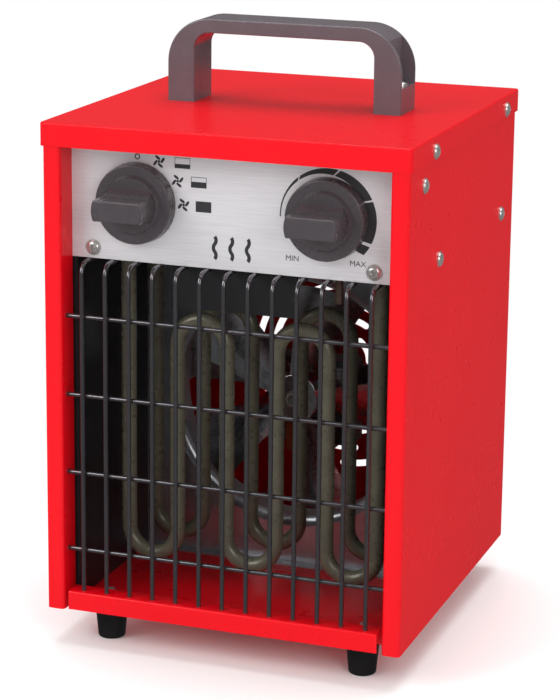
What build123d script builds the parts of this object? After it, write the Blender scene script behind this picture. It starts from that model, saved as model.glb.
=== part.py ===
from build123d import *
import math
import os

# A portable box heater: a folded sheet casing with a set-back control panel, a wire guard,
# two serpentine heating elements, and a fan in a drawn collar behind them.
# Millimetres. +X is to the right of someone facing the front, +Y runs to the back, +Z is up.
# The origin is at the centre of the whole heater's footprint, on the surface it stands on.
# In the names, "case" heights are measured from the lower edge of the side panels and
# "depth" values run back from the front flanges.

# Casing
CASE_WIDTH = 240.0
CASE_DEPTH = 250.0
CASE_HEIGHT = 321.0
SHEET = 1.0
FOLD = 2.5
FLANGE_WIDTH = 12.0
RETURN_DEPTH = 18.0
TOP_FLANGE = 10.0
TOP_FLANGE_SETBACK = 22.0

# Cap over the sides
CAP_SKIRT = 15.0
CAP_LAP = 0.4
CAP_CORNER = 3.0
CAP_EDGE = 1.3

# Base tray with its raised front rail
TRAY_LIFT = 0.8
RAIL_HEIGHT = 13.3
RAIL_DEPTH = 14.0
RAIL_GAP = 3.0
TRAY_SETBACK = 20.0
TRAY_WALL = 12.0
TRAY_BACK_WALL = 15.0
TRAY_FOLD = 1.6
INNER_GAP = 0.4

# Screws
SHANK_RADIUS = 2.0
SCREW_CLEARANCE = 0.1
HEAD_RADIUS = 4.3
HEAD_HEIGHT = 2.4
HEAD_COLLAR_RADIUS = 5.0
HEAD_COLLAR = 0.7
SHANK_LENGTH = 8.0
PANEL_SCREW_X = 93.3
PANEL_SCREW_HEIGHT = 239.5
SIDE_SCREWS = ((31.0, 293.0), (67.0, 240.0), (216.0, 240.0))
CAP_SCREWS = (48.5, 218.0)
CAP_SCREW_DROP = 9.7
BACK_SCREW_HEIGHTS = (20.0, 160.0, 298.0)
BACK_SCREW_INSET = 6.0
TRAY_SCREW_X = 60.0
TRAY_SCREW_HEIGHT = 8.4

# Control panel
PANEL_BOTTOM = 232.6
PANEL_TOP_GAP = 3.0
PANEL_FLANGE = 24.0
KNOB_X = 63.0
KNOB_HEIGHT = 270.7

# Knobs
KNOB_GAP = 0.8
KNOB_LENGTH = 34.0
SKIRT_RADIUS = 26.0
SKIRT_FRONT_RADIUS = 25.2
SKIRT_THICK = 8.0
BOSS_RADIUS = 19.0
BOSS_FRONT_RADIUS = 17.6
BOSS_THICK = 3.2
GRIP_RADIUS = 16.8
GRIP_HALF_WIDTH = 6.6
GRIP_ROOT_HALF_WIDTH = 10.4
GRIP_FLARE = 10.0
KNOB_WALL = 2.0
KNOB_EDGE = 1.0
KNOB_CORE_RADIUS = 6.0
KNOB_CORE_SETBACK = 3.6
KNOB_BORE_DEPTH = 18.0
SHAFT_RADIUS = 3.0
RUNNING_GAP = 0.05

# Switch and thermostat behind the panel
BUSHING_RADIUS = 4.8
BUSHING_PROUD = 2.2
BUSHING_CLEARANCE = 0.2
SWITCH_SIZE = 32.0
SWITCH_DEPTH = 24.0
THERMOSTAT_WIDTH = 38.0
THERMOSTAT_HEIGHT = 34.0
THERMOSTAT_DEPTH = 20.0
SHAFT_INSIDE = 16.0
BULB_RADIUS = 2.5
BULB_X = 67.5
BULB_DEPTH = 28.5
BULB_BOTTOM = 214.6

# Front guard
WIRE_RADIUS = 1.5
WIRE_COUNT = 13
WIRE_PITCH = 16.0
WIRE_DEPTH = 5.0
WIRE_FOOT = 8.0
WIRE_BEND = 7.0
WIRE_END_DEPTH = 22.5
WIRE_HOLE_CLEARANCE = 0.25
CROSS_WIRE_COUNT = 4
CROSS_WIRE_FIRST = 40.3
CROSS_WIRE_PITCH = 51.9
WELD_BITE = 0.3
GUARD_TOP_GAP = 0.1

# Partition between the heated chamber and the control space
PARTITION_DEPTH_END = 232.0
PARTITION_FRONT_FLANGE = 13.0
PARTITION_FRONT_HALF = 100.0
PARTITION_SIDE_FLANGE = 14.0
PARTITION_SHOULDER_DEPTH = 50.0

# Shield plate that hangs behind the panel
SHIELD_HALF_WIDTH = 42.0
SHIELD_DEPTH = 24.0
SHIELD_BOTTOM = 204.0
SHIELD_FLANGE = 14.0

# Heating elements
TUBE_RADIUS = 5.0
LEG_COUNT = 6
LEG_PITCH = 34.4
FRONT_ROW_DEPTH = 57.0
BACK_ROW_DEPTH = 103.0
BEND_BOTTOM = 25.9
ARCH_TOP = 188.3
TUBE_ABOVE_PARTITION = 11.0
TUBE_CLEARANCE = 0.2
FITTING_FLATS = 15.0
FITTING_THICK = 5.0
INSULATOR_RADIUS = 3.6
INSULATOR_LENGTH = 9.0
STUD_RADIUS = 1.6
STUD_LENGTH = 8.0

# Air duct: side liners, shroud plate and fan collar
LINER_SHEET = 0.8
LINER_X = 106.0
LINER_DEPTH = 19.4
LINER_FOLD = 1.6
SHROUD_DEPTH = 134.0
SHROUD_FLANGE = 8.0
FAN_HEIGHT = 117.0
FAN_RADIUS = 80.0
TIP_CLEARANCE = 3.0
COLLAR_MOUTH = 6.0
COLLAR_DEPTH = 22.0

# Fan
BLADE_COUNT = 5
BLADE_SHEET = 1.2
BLADE_ROOT_RADIUS = 15.0
BLADE_ROOT_CHORD = 22.0
BLADE_TIP_CHORD = 50.0
BLADE_ROOT_PITCH = 42.0
BLADE_TIP_PITCH = 20.0
BLADE_CAMBER = 3.0
HUB_RADIUS = 17.0
HUB_DEPTH = 14.0
FAN_MID_DEPTH = 147.0
NUT_FLATS = 10.0
NUT_THICK = 4.0

# Motor
SHAFT_FRONT_DEPTH = 134.6
SHAFT_BACK_DEPTH = 205.0
CORE_DEPTH = 172.0
CORE_THICK = 20.0
CORE_HALF_WIDTH = 32.0
CORE_TOP = 20.0
CORE_BOTTOM = 40.0
ROTOR_RADIUS = 14.0
AIR_GAP = 0.4
COIL_BAR = 10.0
COIL_HALF_WIDTH = 14.5
COIL_WALL = 7.0
COIL_CLEARANCE = 0.2
END_PLATE = 2.0
BEARING_RADIUS = 8.0
BEARING_LENGTH = 6.0
MOTOR_SCREW_X = 25.0
MOTOR_SCREW_RISE = 10.0
STRAP_SHEET = 1.5
STRAP_HALF_WIDTH = 98.0
STRAP_HEIGHT = 22.0
STRAP_GAP = 3.0

# Small parts in the control space
CUTOUT_RADIUS = 8.0
CUTOUT_HEIGHT = 7.0
CUTOUT_DEPTH = 80.0
BLOCK_LENGTH = 42.0
BLOCK_WIDTH = 16.0
BLOCK_HEIGHT = 14.0
BLOCK_X = 30.0
BLOCK_DEPTH = 170.0
BLOCK_WAYS = 3

# Back panel air slots, in rings about the fan's axis
SLOT_WIDTH = 5.0
SLOT_RINGS = ((18.0, 4), (30.0, 6), (42.0, 8), (54.0, 8), (66.0, 10), (78.0, 12))
SLOT_BRIDGE = 7.0
BACK_PANEL_INSET = 2.0

# Cable gland in the back panel, above the partition
GLAND_X = -78.0
GLAND_HEIGHT = 262.0
GLAND_RADIUS = 7.8
GLAND_BORE = 4.0
GLAND_PROUD = 16.0
GLAND_FLATS = 20.0
GLAND_HEX = 6.0
GLAND_INSIDE = 9.0
GLAND_NUT_THICK = 4.0
GLAND_CLEARANCE = 0.1

# Handle
HANDLE_HALF_WIDTH = 80.0
HANDLE_LEG = 18.5
HANDLE_HEIGHT = 55.0
HANDLE_BAR = 9.3
HANDLE_DEPTH = 32.0
HANDLE_SHOULDER = 29.0
HANDLE_INNER_RADIUS = 10.5
HANDLE_EDGE = 1.0
WELL_INSET = 9.0
WELL_WALL = 2.2
WELL_FLOOR = 17.0
HANDLE_SCREW_INSET = 4.7
HANDLE_SCREW_BELOW = 8.0
HANDLE_HEAD_RADIUS = 3.8
SMALL_NUT_FLATS = 8.0
SMALL_NUT_THICK = 3.4

# Feet
FOOT_HEIGHT = 25.0
FOOT_RADIUS = 11.2
FOOT_BOTTOM_RADIUS = 8.8
FOOT_EDGE = 1.5
FOOT_X = 87.0
FOOT_FRONT_DEPTH = 29.0
FOOT_BACK_DEPTH = 221.0
FOOT_WELL_RADIUS = 5.2
FOOT_WELL_DEPTH = 10.0
FOOT_SCREW_ABOVE = 6.0

# Places worked out from the sizes above
HALF_WIDTH = CASE_WIDTH / 2
KNOB_PROUD = KNOB_GAP + KNOB_LENGTH - RETURN_DEPTH
FRONT = -(CASE_DEPTH + GLAND_PROUD - KNOB_PROUD) / 2
BACK = FRONT + CASE_DEPTH
BASE = FOOT_HEIGHT
TOP = BASE + CASE_HEIGHT
CAP_UNDERSIDE = TOP - SHEET
INNER_X = HALF_WIDTH - SHEET
FLOOR = BASE + TRAY_LIFT + SHEET
PANEL_FACE = FRONT + RETURN_DEPTH
PANEL_BACK = PANEL_FACE + SHEET
PARTITION = BASE + PANEL_BOTTOM
PARTITION_TOP = PARTITION + SHEET
KNOB_Z = BASE + KNOB_HEIGHT
FAN_Z = BASE + FAN_HEIGHT
SHROUD = FRONT + SHROUD_DEPTH
SCREW_HOLE = SHANK_RADIUS + SCREW_CLEARANCE
MIDDLE = FRONT + CASE_DEPTH / 2

TO_FRONT = (90, 0, 0)
TO_BACK = (-90, 0, 0)
TO_RIGHT = (0, 90, 0)
TO_LEFT = (0, -90, 0)
DOWN = (180, 0, 0)


def write(piece, label):
    """Label a finished piece and write it to its own file."""
    piece.part.label = label
    export_step(piece.part, f"parts/{label}.step")


def at(x, y, z, turn=(0, 0, 0)):
    """A place and an attitude for something drawn along its own Z."""
    return Location((x, y, z), turn)


def pan_screw(head_radius, length):
    """A pan-head screw along Z: the seat of its head is at Z 0 and its shank runs down."""
    with BuildPart() as screw:
        with BuildSketch(Plane.XZ):
            with BuildLine():
                dome = TangentArc((0, HEAD_HEIGHT), (head_radius, HEAD_COLLAR), tangent=(1, 0))
                Polyline(
                    dome @ 1, (head_radius, 0), (SHANK_RADIUS, 0), (SHANK_RADIUS, -length),
                    (0, -length), dome @ 0,
                )
            make_face()
        revolve(axis=Axis.Z)
    return screw.part


def collar_screw(length):
    """A pan-head screw with a pressed washer collar under its head."""
    with BuildPart() as screw:
        add(pan_screw(HEAD_RADIUS, length))
        with Locations((0, 0, 0)):
            Cylinder(HEAD_COLLAR_RADIUS, HEAD_COLLAR, align=(Align.CENTER, Align.CENTER, Align.MIN))
    return screw.part


def hex_nut(flats, thick, bore):
    """A hexagonal nut that stands on Z 0."""
    with BuildPart() as nut:
        with BuildSketch():
            RegularPolygon(flats / 2, 6, major_radius=False)
            Circle(bore, mode=Mode.SUBTRACT)
        extrude(amount=thick)
    return nut.part


def folded_profile(points, radius, thick, side):
    """Face of a folded sheet: a line with rounded folds, given its thickness on one side."""
    with BuildSketch() as section:
        with BuildLine():
            folds = FilletPolyline(*points, radius=radius)
            offset(folds, amount=thick, side=side)
        make_face()
    return section.sketch


# Side panels: front flange with its return, wall, back flange and a top flange for the cap
side_holes = [(FRONT + depth, BASE + height) for depth, height in SIDE_SCREWS]
cap_holes = [(FRONT + depth, TOP - CAP_SCREW_DROP) for depth in CAP_SCREWS]
back_holes = [BASE + height for height in BACK_SCREW_HEIGHTS]
flange_edge = HALF_WIDTH - FLANGE_WIDTH
back_flange = BACK - SHEET
front_half = INNER_X - FOLD - INNER_GAP

with BuildPart() as side_panel_left:
    with BuildSketch(Plane.XY.offset(BASE)):
        add(folded_profile(
            (
                (-flange_edge, back_flange), (-HALF_WIDTH, back_flange), (-HALF_WIDTH, FRONT),
                (-flange_edge, FRONT), (-flange_edge, FRONT + RETURN_DEPTH),
            ),
            FOLD, SHEET, Side.LEFT,
        ))
    extrude(amount=CASE_HEIGHT - SHEET)
    flange_run = CASE_DEPTH - 2 * TOP_FLANGE_SETBACK
    with Locations((-INNER_X, MIDDLE, CAP_UNDERSIDE)):
        Box(TOP_FLANGE, flange_run, SHEET, align=(Align.MIN, Align.CENTER, Align.MAX))
    with Locations(*[at(-HALF_WIDTH, y, z, TO_LEFT) for y, z in side_holes + cap_holes]):
        Cylinder(SCREW_HOLE, 4 * SHEET, mode=Mode.SUBTRACT)
    screw_x = HALF_WIDTH - BACK_SCREW_INSET
    with Locations(*[at(-screw_x, back_flange, z, TO_BACK) for z in back_holes]):
        Cylinder(SCREW_HOLE, 4 * SHEET, mode=Mode.SUBTRACT)

with BuildPart() as side_panel_right:
    mirror(side_panel_left.part, about=Plane.YZ)

# Cap: a shallow pan turned over the sides, with rounded corners
cap_half = HALF_WIDTH + CAP_LAP + SHEET
cap_depth = CASE_DEPTH + 2 * (CAP_LAP + SHEET)
handle_screw_x = HANDLE_HALF_WIDTH - HANDLE_SCREW_INSET

with BuildPart() as top_cover:
    with BuildSketch(Plane.XY.offset(TOP - CAP_SKIRT)):
        with Locations((0, MIDDLE)):
            RectangleRounded(2 * cap_half, cap_depth, CAP_CORNER)
    extrude(amount=CAP_SKIRT)
    fillet(top_cover.faces().sort_by(Axis.Z)[-1].edges(), radius=CAP_EDGE)
    offset(amount=-SHEET, openings=top_cover.faces().sort_by(Axis.Z)[0])
    with Locations(*[at(side * cap_half, y, z, TO_RIGHT) for side in (-1, 1) for y, z in cap_holes]):
        Cylinder(SCREW_HOLE, 4 * SHEET, mode=Mode.SUBTRACT)
    with Locations(*[(side * handle_screw_x, MIDDLE, TOP) for side in (-1, 1)]):
        Cylinder(SCREW_HOLE, 4 * SHEET, mode=Mode.SUBTRACT)

# Base tray: lip, rail top with the wire holes, floor, back wall, and low walls at the sides
rail_half = flange_edge - RAIL_GAP
wire_xs = [WIRE_PITCH * (i - (WIRE_COUNT - 1) / 2) for i in range(WIRE_COUNT)]
foot_places = [
    (side * FOOT_X, FRONT + depth) for depth in (FOOT_FRONT_DEPTH, FOOT_BACK_DEPTH) for side in (-1, 1)
]

with BuildPart() as base_tray:
    rail_top = BASE + RAIL_HEIGHT
    with BuildSketch(Plane.YZ.offset(-rail_half)):
        add(folded_profile(
            (
                (FRONT, BASE + TRAY_LIFT), (FRONT, rail_top), (FRONT + RAIL_DEPTH, rail_top),
                (FRONT + RAIL_DEPTH, FLOOR), (back_flange - SHEET, FLOOR),
                (back_flange - SHEET, FLOOR + TRAY_BACK_WALL),
            ),
            TRAY_FOLD, SHEET, Side.RIGHT,
        ))
    extrude(amount=2 * rail_half)
    wing_front = FRONT + TRAY_SETBACK
    wing_length = back_flange - FOLD - INNER_GAP - wing_front
    with BuildSketch(Plane.XZ.offset(-wing_front)):
        add(folded_profile(
            (
                (-INNER_X + SHEET, FLOOR + TRAY_WALL), (-INNER_X + SHEET, FLOOR),
                (INNER_X - SHEET, FLOOR), (INNER_X - SHEET, FLOOR + TRAY_WALL),
            ),
            TRAY_FOLD, SHEET, Side.RIGHT,
        ))
    extrude(amount=-wing_length)
    with Locations(*[(x, FRONT + WIRE_DEPTH, rail_top) for x in wire_xs]):
        Cylinder(WIRE_RADIUS + WIRE_HOLE_CLEARANCE, 4 * SHEET, mode=Mode.SUBTRACT)
    with Locations(*[(x, y, FLOOR) for x, y in foot_places]):
        Cylinder(SCREW_HOLE, 4 * SHEET, mode=Mode.SUBTRACT)
    tray_screw_z = BASE + TRAY_SCREW_HEIGHT
    with Locations(*[at(side * TRAY_SCREW_X, back_flange, tray_screw_z, TO_BACK) for side in (-1, 1)]):
        Cylinder(SCREW_HOLE, 4 * SHEET, mode=Mode.SUBTRACT)

# Back panel with rings of air slots about the fan's axis and a hole for the gland
with BuildSketch() as air_slots:
    for ring_radius, slots in SLOT_RINGS:
        bridge = math.degrees((SLOT_BRIDGE + SLOT_WIDTH) / ring_radius)
        slot_line = CenterArc((0, 0), ring_radius, 0, 360 / slots - bridge)
        with PolarLocations(0, slots):
            SlotArc(slot_line, SLOT_WIDTH)

with BuildPart() as back_panel:
    with BuildSketch(Plane.XZ.offset(-back_flange)):
        with Locations((0, (BASE + CAP_UNDERSIDE) / 2)):
            Rectangle(2 * (HALF_WIDTH - BACK_PANEL_INSET), CAP_UNDERSIDE - BASE)
        with Locations(*[(side * screw_x, z) for side in (-1, 1) for z in back_holes]):
            Circle(SCREW_HOLE, mode=Mode.SUBTRACT)
        with Locations(*[(side * TRAY_SCREW_X, tray_screw_z) for side in (-1, 1)]):
            Circle(SCREW_HOLE, mode=Mode.SUBTRACT)
        with Locations((GLAND_X, BASE + GLAND_HEIGHT)):
            Circle(GLAND_RADIUS + GLAND_CLEARANCE, mode=Mode.SUBTRACT)
        with Locations((0, FAN_Z)):
            add(air_slots.sketch, mode=Mode.SUBTRACT)
    extrude(amount=-SHEET)

# Control panel: brushed sheet between the side panels, folded back along their walls
with BuildPart() as control_panel:
    with BuildSketch(Plane.XY.offset(PARTITION)):
        add(folded_profile(
            (
                (-INNER_X, PANEL_FACE + PANEL_FLANGE), (-INNER_X, PANEL_FACE),
                (INNER_X, PANEL_FACE), (INNER_X, PANEL_FACE + PANEL_FLANGE),
            ),
            FOLD, SHEET, Side.LEFT,
        ))
    extrude(amount=CAP_UNDERSIDE - PANEL_TOP_GAP - PARTITION)
    with Locations(*[at(side * KNOB_X, PANEL_FACE, KNOB_Z, TO_FRONT) for side in (-1, 1)]):
        Cylinder(BUSHING_RADIUS + BUSHING_CLEARANCE, 4 * SHEET, mode=Mode.SUBTRACT)
    panel_screw_z = BASE + PANEL_SCREW_HEIGHT
    with Locations(*[at(side * PANEL_SCREW_X, PANEL_FACE, panel_screw_z, TO_FRONT) for side in (-1, 1)]):
        Cylinder(SCREW_HOLE, 4 * SHEET, mode=Mode.SUBTRACT)
    first_y, first_z = side_holes[0]
    with Locations(*[at(side * INNER_X, first_y, first_z, TO_RIGHT) for side in (-1, 1)]):
        Cylinder(SCREW_HOLE, 4 * SHEET, mode=Mode.SUBTRACT)

# Partition: the chamber's ceiling, with a front flange that the panel is screwed to
leg_xs = [LEG_PITCH * (i - (LEG_COUNT - 1) / 2) for i in range(LEG_COUNT)]
row_ys = (FRONT + FRONT_ROW_DEPTH, FRONT + BACK_ROW_DEPTH)
tube_ends = [(x, y) for y in row_ys for x in (leg_xs[0], leg_xs[-1])]
bulb_y = FRONT + BULB_DEPTH

with BuildPart() as partition:
    shoulder = FRONT + PARTITION_SHOULDER_DEPTH
    partition_back = FRONT + PARTITION_DEPTH_END
    with BuildSketch(Plane.XY.offset(PARTITION)):
        with Locations((0, PANEL_BACK)):
            Rectangle(2 * front_half, partition_back - PANEL_BACK, align=(Align.CENTER, Align.MIN))
        with Locations((0, shoulder)):
            Rectangle(2 * INNER_X, partition_back - shoulder, align=(Align.CENTER, Align.MIN))
        with Locations(*tube_ends):
            Circle(TUBE_RADIUS + TUBE_CLEARANCE, mode=Mode.SUBTRACT)
        with Locations((BULB_X, bulb_y)):
            Circle(BULB_RADIUS + TUBE_CLEARANCE, mode=Mode.SUBTRACT)
    extrude(amount=SHEET)
    with Locations((0, PANEL_BACK, PARTITION)):
        Box(
            2 * PARTITION_FRONT_HALF, SHEET, PARTITION_FRONT_FLANGE,
            align=(Align.CENTER, Align.MIN, Align.MIN),
        )
    for side in (-1, 1):
        with Locations((side * (INNER_X - SHEET / 2), shoulder, PARTITION)):
            Box(
                SHEET, partition_back - shoulder, PARTITION_SIDE_FLANGE,
                align=(Align.CENTER, Align.MIN, Align.MIN),
            )
    with Locations(*[at(side * PANEL_SCREW_X, PANEL_BACK, panel_screw_z, TO_FRONT) for side in (-1, 1)]):
        Cylinder(SCREW_HOLE, 4 * SHEET, mode=Mode.SUBTRACT)
    with Locations(*[at(side * INNER_X, y, z, TO_RIGHT) for side in (-1, 1) for y, z in side_holes[1:]]):
        Cylinder(SCREW_HOLE, 4 * SHEET, mode=Mode.SUBTRACT)

# Shield plate under the partition, just behind the guard's bent tops
with BuildPart() as shield_plate:
    shield_y = FRONT + SHIELD_DEPTH
    with BuildSketch(Plane.YZ.offset(-SHIELD_HALF_WIDTH)):
        add(folded_profile(
            (
                (shield_y, BASE + SHIELD_BOTTOM), (shield_y, PARTITION),
                (shield_y + SHIELD_FLANGE, PARTITION),
            ),
            TRAY_FOLD, SHEET, Side.RIGHT,
        ))
    extrude(amount=2 * SHIELD_HALF_WIDTH)

# Front guard: upright wires with bent tops, and cross wires welded behind them
wire_y = FRONT + WIRE_DEPTH
wire_top = PARTITION - WIRE_RADIUS - GUARD_TOP_GAP
cross_y = wire_y + 2 * WIRE_RADIUS - WELD_BITE

with BuildPart() as upright_wire:
    with BuildLine(Plane.YZ):
        upright = FilletPolyline(
            (wire_y, BASE + WIRE_FOOT), (wire_y, wire_top), (FRONT + WIRE_END_DEPTH, wire_top),
            radius=WIRE_BEND,
        )
    with BuildSketch(Plane(origin=upright @ 0, z_dir=upright % 0)):
        Circle(WIRE_RADIUS)
    sweep(path=upright)

with BuildPart() as front_guard:
    with Locations(*[(x, 0, 0) for x in wire_xs]):
        add(upright_wire.part)
    cross_zs = [BASE + CROSS_WIRE_FIRST + CROSS_WIRE_PITCH * i for i in range(CROSS_WIRE_COUNT)]
    with Locations(*[at(0, cross_y, z, TO_RIGHT) for z in cross_zs]):
        Cylinder(WIRE_RADIUS, 2 * flange_edge)


def serpentine(y):
    """A heating tube in one plane: six legs, three bends below and two arches above."""
    low = BASE + BEND_BOTTOM + LEG_PITCH / 2
    high = BASE + ARCH_TOP - LEG_PITCH / 2
    end = PARTITION_TOP + TUBE_ABOVE_PARTITION
    with BuildPart() as element:
        with BuildLine() as path:
            for i, x in enumerate(leg_xs):
                outer_leg = i in (0, LEG_COUNT - 1)
                top = end if outer_leg else high
                leg_ends = ((x, y, top), (x, y, low))
                going_down = i % 2 == 0
                Line(*(leg_ends if going_down else reversed(leg_ends)))
                if i == LEG_COUNT - 1:
                    continue
                turn_z = low if going_down else high
                swing = -LEG_PITCH / 2 if going_down else LEG_PITCH / 2
                ThreePointArc(
                    (x, y, turn_z), (x + LEG_PITCH / 2, y, turn_z + swing), (x + LEG_PITCH, y, turn_z)
                )
        with BuildSketch(Plane(origin=(leg_xs[0], y, end), z_dir=(0, 0, -1))):
            Circle(TUBE_RADIUS)
        sweep(path=path.wires()[0])
    return element


heating_element_front = serpentine(row_ys[0])
heating_element_back = serpentine(row_ys[1])

# Nuts that hold the tube ends in the partition, and the insulated studs on top of them
tube_top = PARTITION_TOP + TUBE_ABOVE_PARTITION

with BuildPart() as element_nuts:
    with Locations(*[(x, y, PARTITION_TOP) for x, y in tube_ends]):
        add(hex_nut(FITTING_FLATS, FITTING_THICK, TUBE_RADIUS + RUNNING_GAP))

with BuildPart() as terminal_insulators:
    with Locations(*[(x, y, tube_top) for x, y in tube_ends]):
        Cylinder(INSULATOR_RADIUS, INSULATOR_LENGTH, align=(Align.CENTER, Align.CENTER, Align.MIN))

with BuildPart() as terminal_studs:
    with Locations(*[(x, y, tube_top + INSULATOR_LENGTH) for x, y in tube_ends]):
        Cylinder(STUD_RADIUS, STUD_LENGTH, align=(Align.CENTER, Align.CENTER, Align.MIN))

# Duct liners beside the elements, each with a front flange turned towards the side panel
with BuildPart() as duct_liner_left:
    liner_y = FRONT + LINER_DEPTH
    with BuildSketch(Plane.XY.offset(FLOOR)):
        add(folded_profile(
            (
                (-front_half, liner_y), (-LINER_X + LINER_SHEET, liner_y),
                (-LINER_X + LINER_SHEET, SHROUD),
            ),
            LINER_FOLD, LINER_SHEET, Side.LEFT,
        ))
    extrude(amount=PARTITION - FLOOR)

with BuildPart() as duct_liner_right:
    mirror(duct_liner_left.part, about=Plane.YZ)

# Fan shroud: a folded plate with a drawn collar round the fan
fan_plane = Plane(origin=(0, SHROUD, FAN_Z), x_dir=(1, 0, 0), z_dir=(0, 1, 0))
collar_radius = FAN_RADIUS + TIP_CLEARANCE
mouth_radius = collar_radius + COLLAR_MOUTH

with BuildPart() as fan_shroud:
    shroud_front = SHROUD - SHROUD_FLANGE
    with BuildSketch(Plane.YZ.offset(-LINER_X + LINER_SHEET)):
        add(folded_profile(
            (
                (shroud_front, FLOOR), (SHROUD + LINER_SHEET, FLOOR),
                (SHROUD + LINER_SHEET, PARTITION), (shroud_front, PARTITION),
            ),
            LINER_FOLD, LINER_SHEET, Side.LEFT,
        ))
    extrude(amount=2 * (LINER_X - LINER_SHEET))
    with BuildSketch(fan_plane):
        Circle(mouth_radius)
    extrude(amount=LINER_SHEET, mode=Mode.SUBTRACT)
    with BuildSketch(Plane(origin=(0, SHROUD, FAN_Z), x_dir=(1, 0, 0), z_dir=(0, 0, 1))):
        with BuildLine():
            mouth = RadiusArc((mouth_radius, 0), (collar_radius, COLLAR_MOUTH), -COLLAR_MOUTH)
            throat = Line(mouth @ 1, (collar_radius, COLLAR_DEPTH))
            lip = Line(throat @ 1, (collar_radius + LINER_SHEET, COLLAR_DEPTH))
            outside = Line(lip @ 1, (collar_radius + LINER_SHEET, COLLAR_MOUTH))
            mouth_back = RadiusArc(
                outside @ 1, (mouth_radius, LINER_SHEET), COLLAR_MOUTH - LINER_SHEET
            )
            Line(mouth_back @ 1, mouth @ 0)
        make_face()
    revolve(axis=Axis((0, SHROUD, FAN_Z), (0, 1, 0)))


def blade_section(radius, chord, pitch):
    """A cambered strip across a blade, square to the spoke it lies on."""
    spoke = Plane(origin=(radius, 0, 0), x_dir=(0, 1, 0), z_dir=(1, 0, 0))
    with BuildSketch(spoke) as section:
        with BuildLine(Plane.XY):
            camber = ThreePointArc((-chord / 2, 0), (0, BLADE_CAMBER), (chord / 2, 0))
            offset(camber, amount=BLADE_SHEET, side=Side.LEFT)
        make_face()
    return section.sketch.rotate(Axis((radius, 0, 0), (1, 0, 0)), pitch)


# Fan: cambered, twisted blades on a hub
with BuildPart() as blade:
    loft([
        blade_section(BLADE_ROOT_RADIUS, BLADE_ROOT_CHORD, BLADE_ROOT_PITCH),
        blade_section(
            (BLADE_ROOT_RADIUS + FAN_RADIUS) / 2,
            (BLADE_ROOT_CHORD + BLADE_TIP_CHORD) / 2,
            (BLADE_ROOT_PITCH + BLADE_TIP_PITCH) / 2,
        ),
        blade_section(FAN_RADIUS, BLADE_TIP_CHORD, BLADE_TIP_PITCH),
    ])
    with BuildSketch(Plane.XY.offset(-CASE_DEPTH / 4)):
        Circle(FAN_RADIUS)
    extrude(amount=CASE_DEPTH / 2, mode=Mode.INTERSECT)

fan_y = FRONT + FAN_MID_DEPTH
shaft_bore = SHAFT_RADIUS + RUNNING_GAP

with BuildPart() as fan:
    with Locations(at(0, fan_y, FAN_Z, TO_FRONT)):
        Cylinder(HUB_RADIUS, HUB_DEPTH)
    fillet(fan.edges().filter_by(GeomType.CIRCLE).sort_by(Axis.Y)[0], radius=HUB_DEPTH / 8)
    with Locations(at(0, fan_y, FAN_Z, TO_FRONT)):
        with PolarLocations(0, BLADE_COUNT):
            add(blade.part)
        Cylinder(shaft_bore, 2 * HUB_DEPTH, mode=Mode.SUBTRACT)

with BuildPart() as fan_nut:
    with Locations(at(0, fan_y - HUB_DEPTH / 2, FAN_Z, TO_FRONT)):
        add(hex_nut(NUT_FLATS, NUT_THICK, shaft_bore))

shaft_start = FRONT + SHAFT_FRONT_DEPTH
shaft_length = SHAFT_BACK_DEPTH - SHAFT_FRONT_DEPTH

with BuildPart() as motor_shaft:
    with Locations(at(0, shaft_start, FAN_Z, TO_BACK)):
        Cylinder(SHAFT_RADIUS, shaft_length, align=(Align.CENTER, Align.CENTER, Align.MIN))
    chamfer(motor_shaft.edges().filter_by(GeomType.CIRCLE), length=SHAFT_RADIUS / 6)

core_y = FRONT + CORE_DEPTH

with BuildPart() as motor_rotor:
    with Locations(at(0, core_y, FAN_Z, TO_BACK)):
        Cylinder(ROTOR_RADIUS, CORE_THICK, align=(Align.CENTER, Align.CENTER, Align.MIN))
        Cylinder(
            shaft_bore, CORE_THICK, align=(Align.CENTER, Align.CENTER, Align.MIN), mode=Mode.SUBTRACT
        )

# Motor core: a laminated frame with the rotor's bore above and the coil's bar below
motor_screws_at = [(side * MOTOR_SCREW_X, FAN_Z + MOTOR_SCREW_RISE) for side in (-1, 1)]
bar_bottom = FAN_Z - CORE_BOTTOM
bar_top = bar_bottom + COIL_BAR
window_top = bar_top + COIL_WALL + COIL_CLEARANCE

with BuildPart() as motor_core:
    with BuildSketch(Plane.XZ.offset(-core_y)):
        with Locations((0, FAN_Z + (CORE_TOP - CORE_BOTTOM) / 2)):
            RectangleRounded(2 * CORE_HALF_WIDTH, CORE_TOP + CORE_BOTTOM, 3)
        with Locations((0, FAN_Z)):
            Circle(ROTOR_RADIUS + AIR_GAP, mode=Mode.SUBTRACT)
        with Locations((0, (bar_top + window_top) / 2)):
            Rectangle(
                2 * (COIL_HALF_WIDTH + COIL_CLEARANCE), window_top - bar_top, mode=Mode.SUBTRACT
            )
        with Locations(*motor_screws_at):
            Circle(SCREW_HOLE, mode=Mode.SUBTRACT)
    extrude(amount=-CORE_THICK)

with BuildPart() as motor_coil:
    core_middle = core_y + CORE_THICK / 2
    bar_middle = (bar_bottom + bar_top) / 2
    with Locations((0, core_middle, bar_middle)):
        Box(2 * COIL_HALF_WIDTH, CORE_THICK + 2 * COIL_WALL, COIL_BAR + 2 * COIL_WALL)
    fillet(motor_coil.edges().filter_by(Axis.X), radius=COIL_WALL * 0.6)
    with Locations((0, core_middle, bar_middle)):
        Box(
            3 * COIL_HALF_WIDTH, CORE_THICK + 2 * COIL_CLEARANCE, COIL_BAR + 2 * COIL_CLEARANCE,
            mode=Mode.SUBTRACT,
        )


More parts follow.
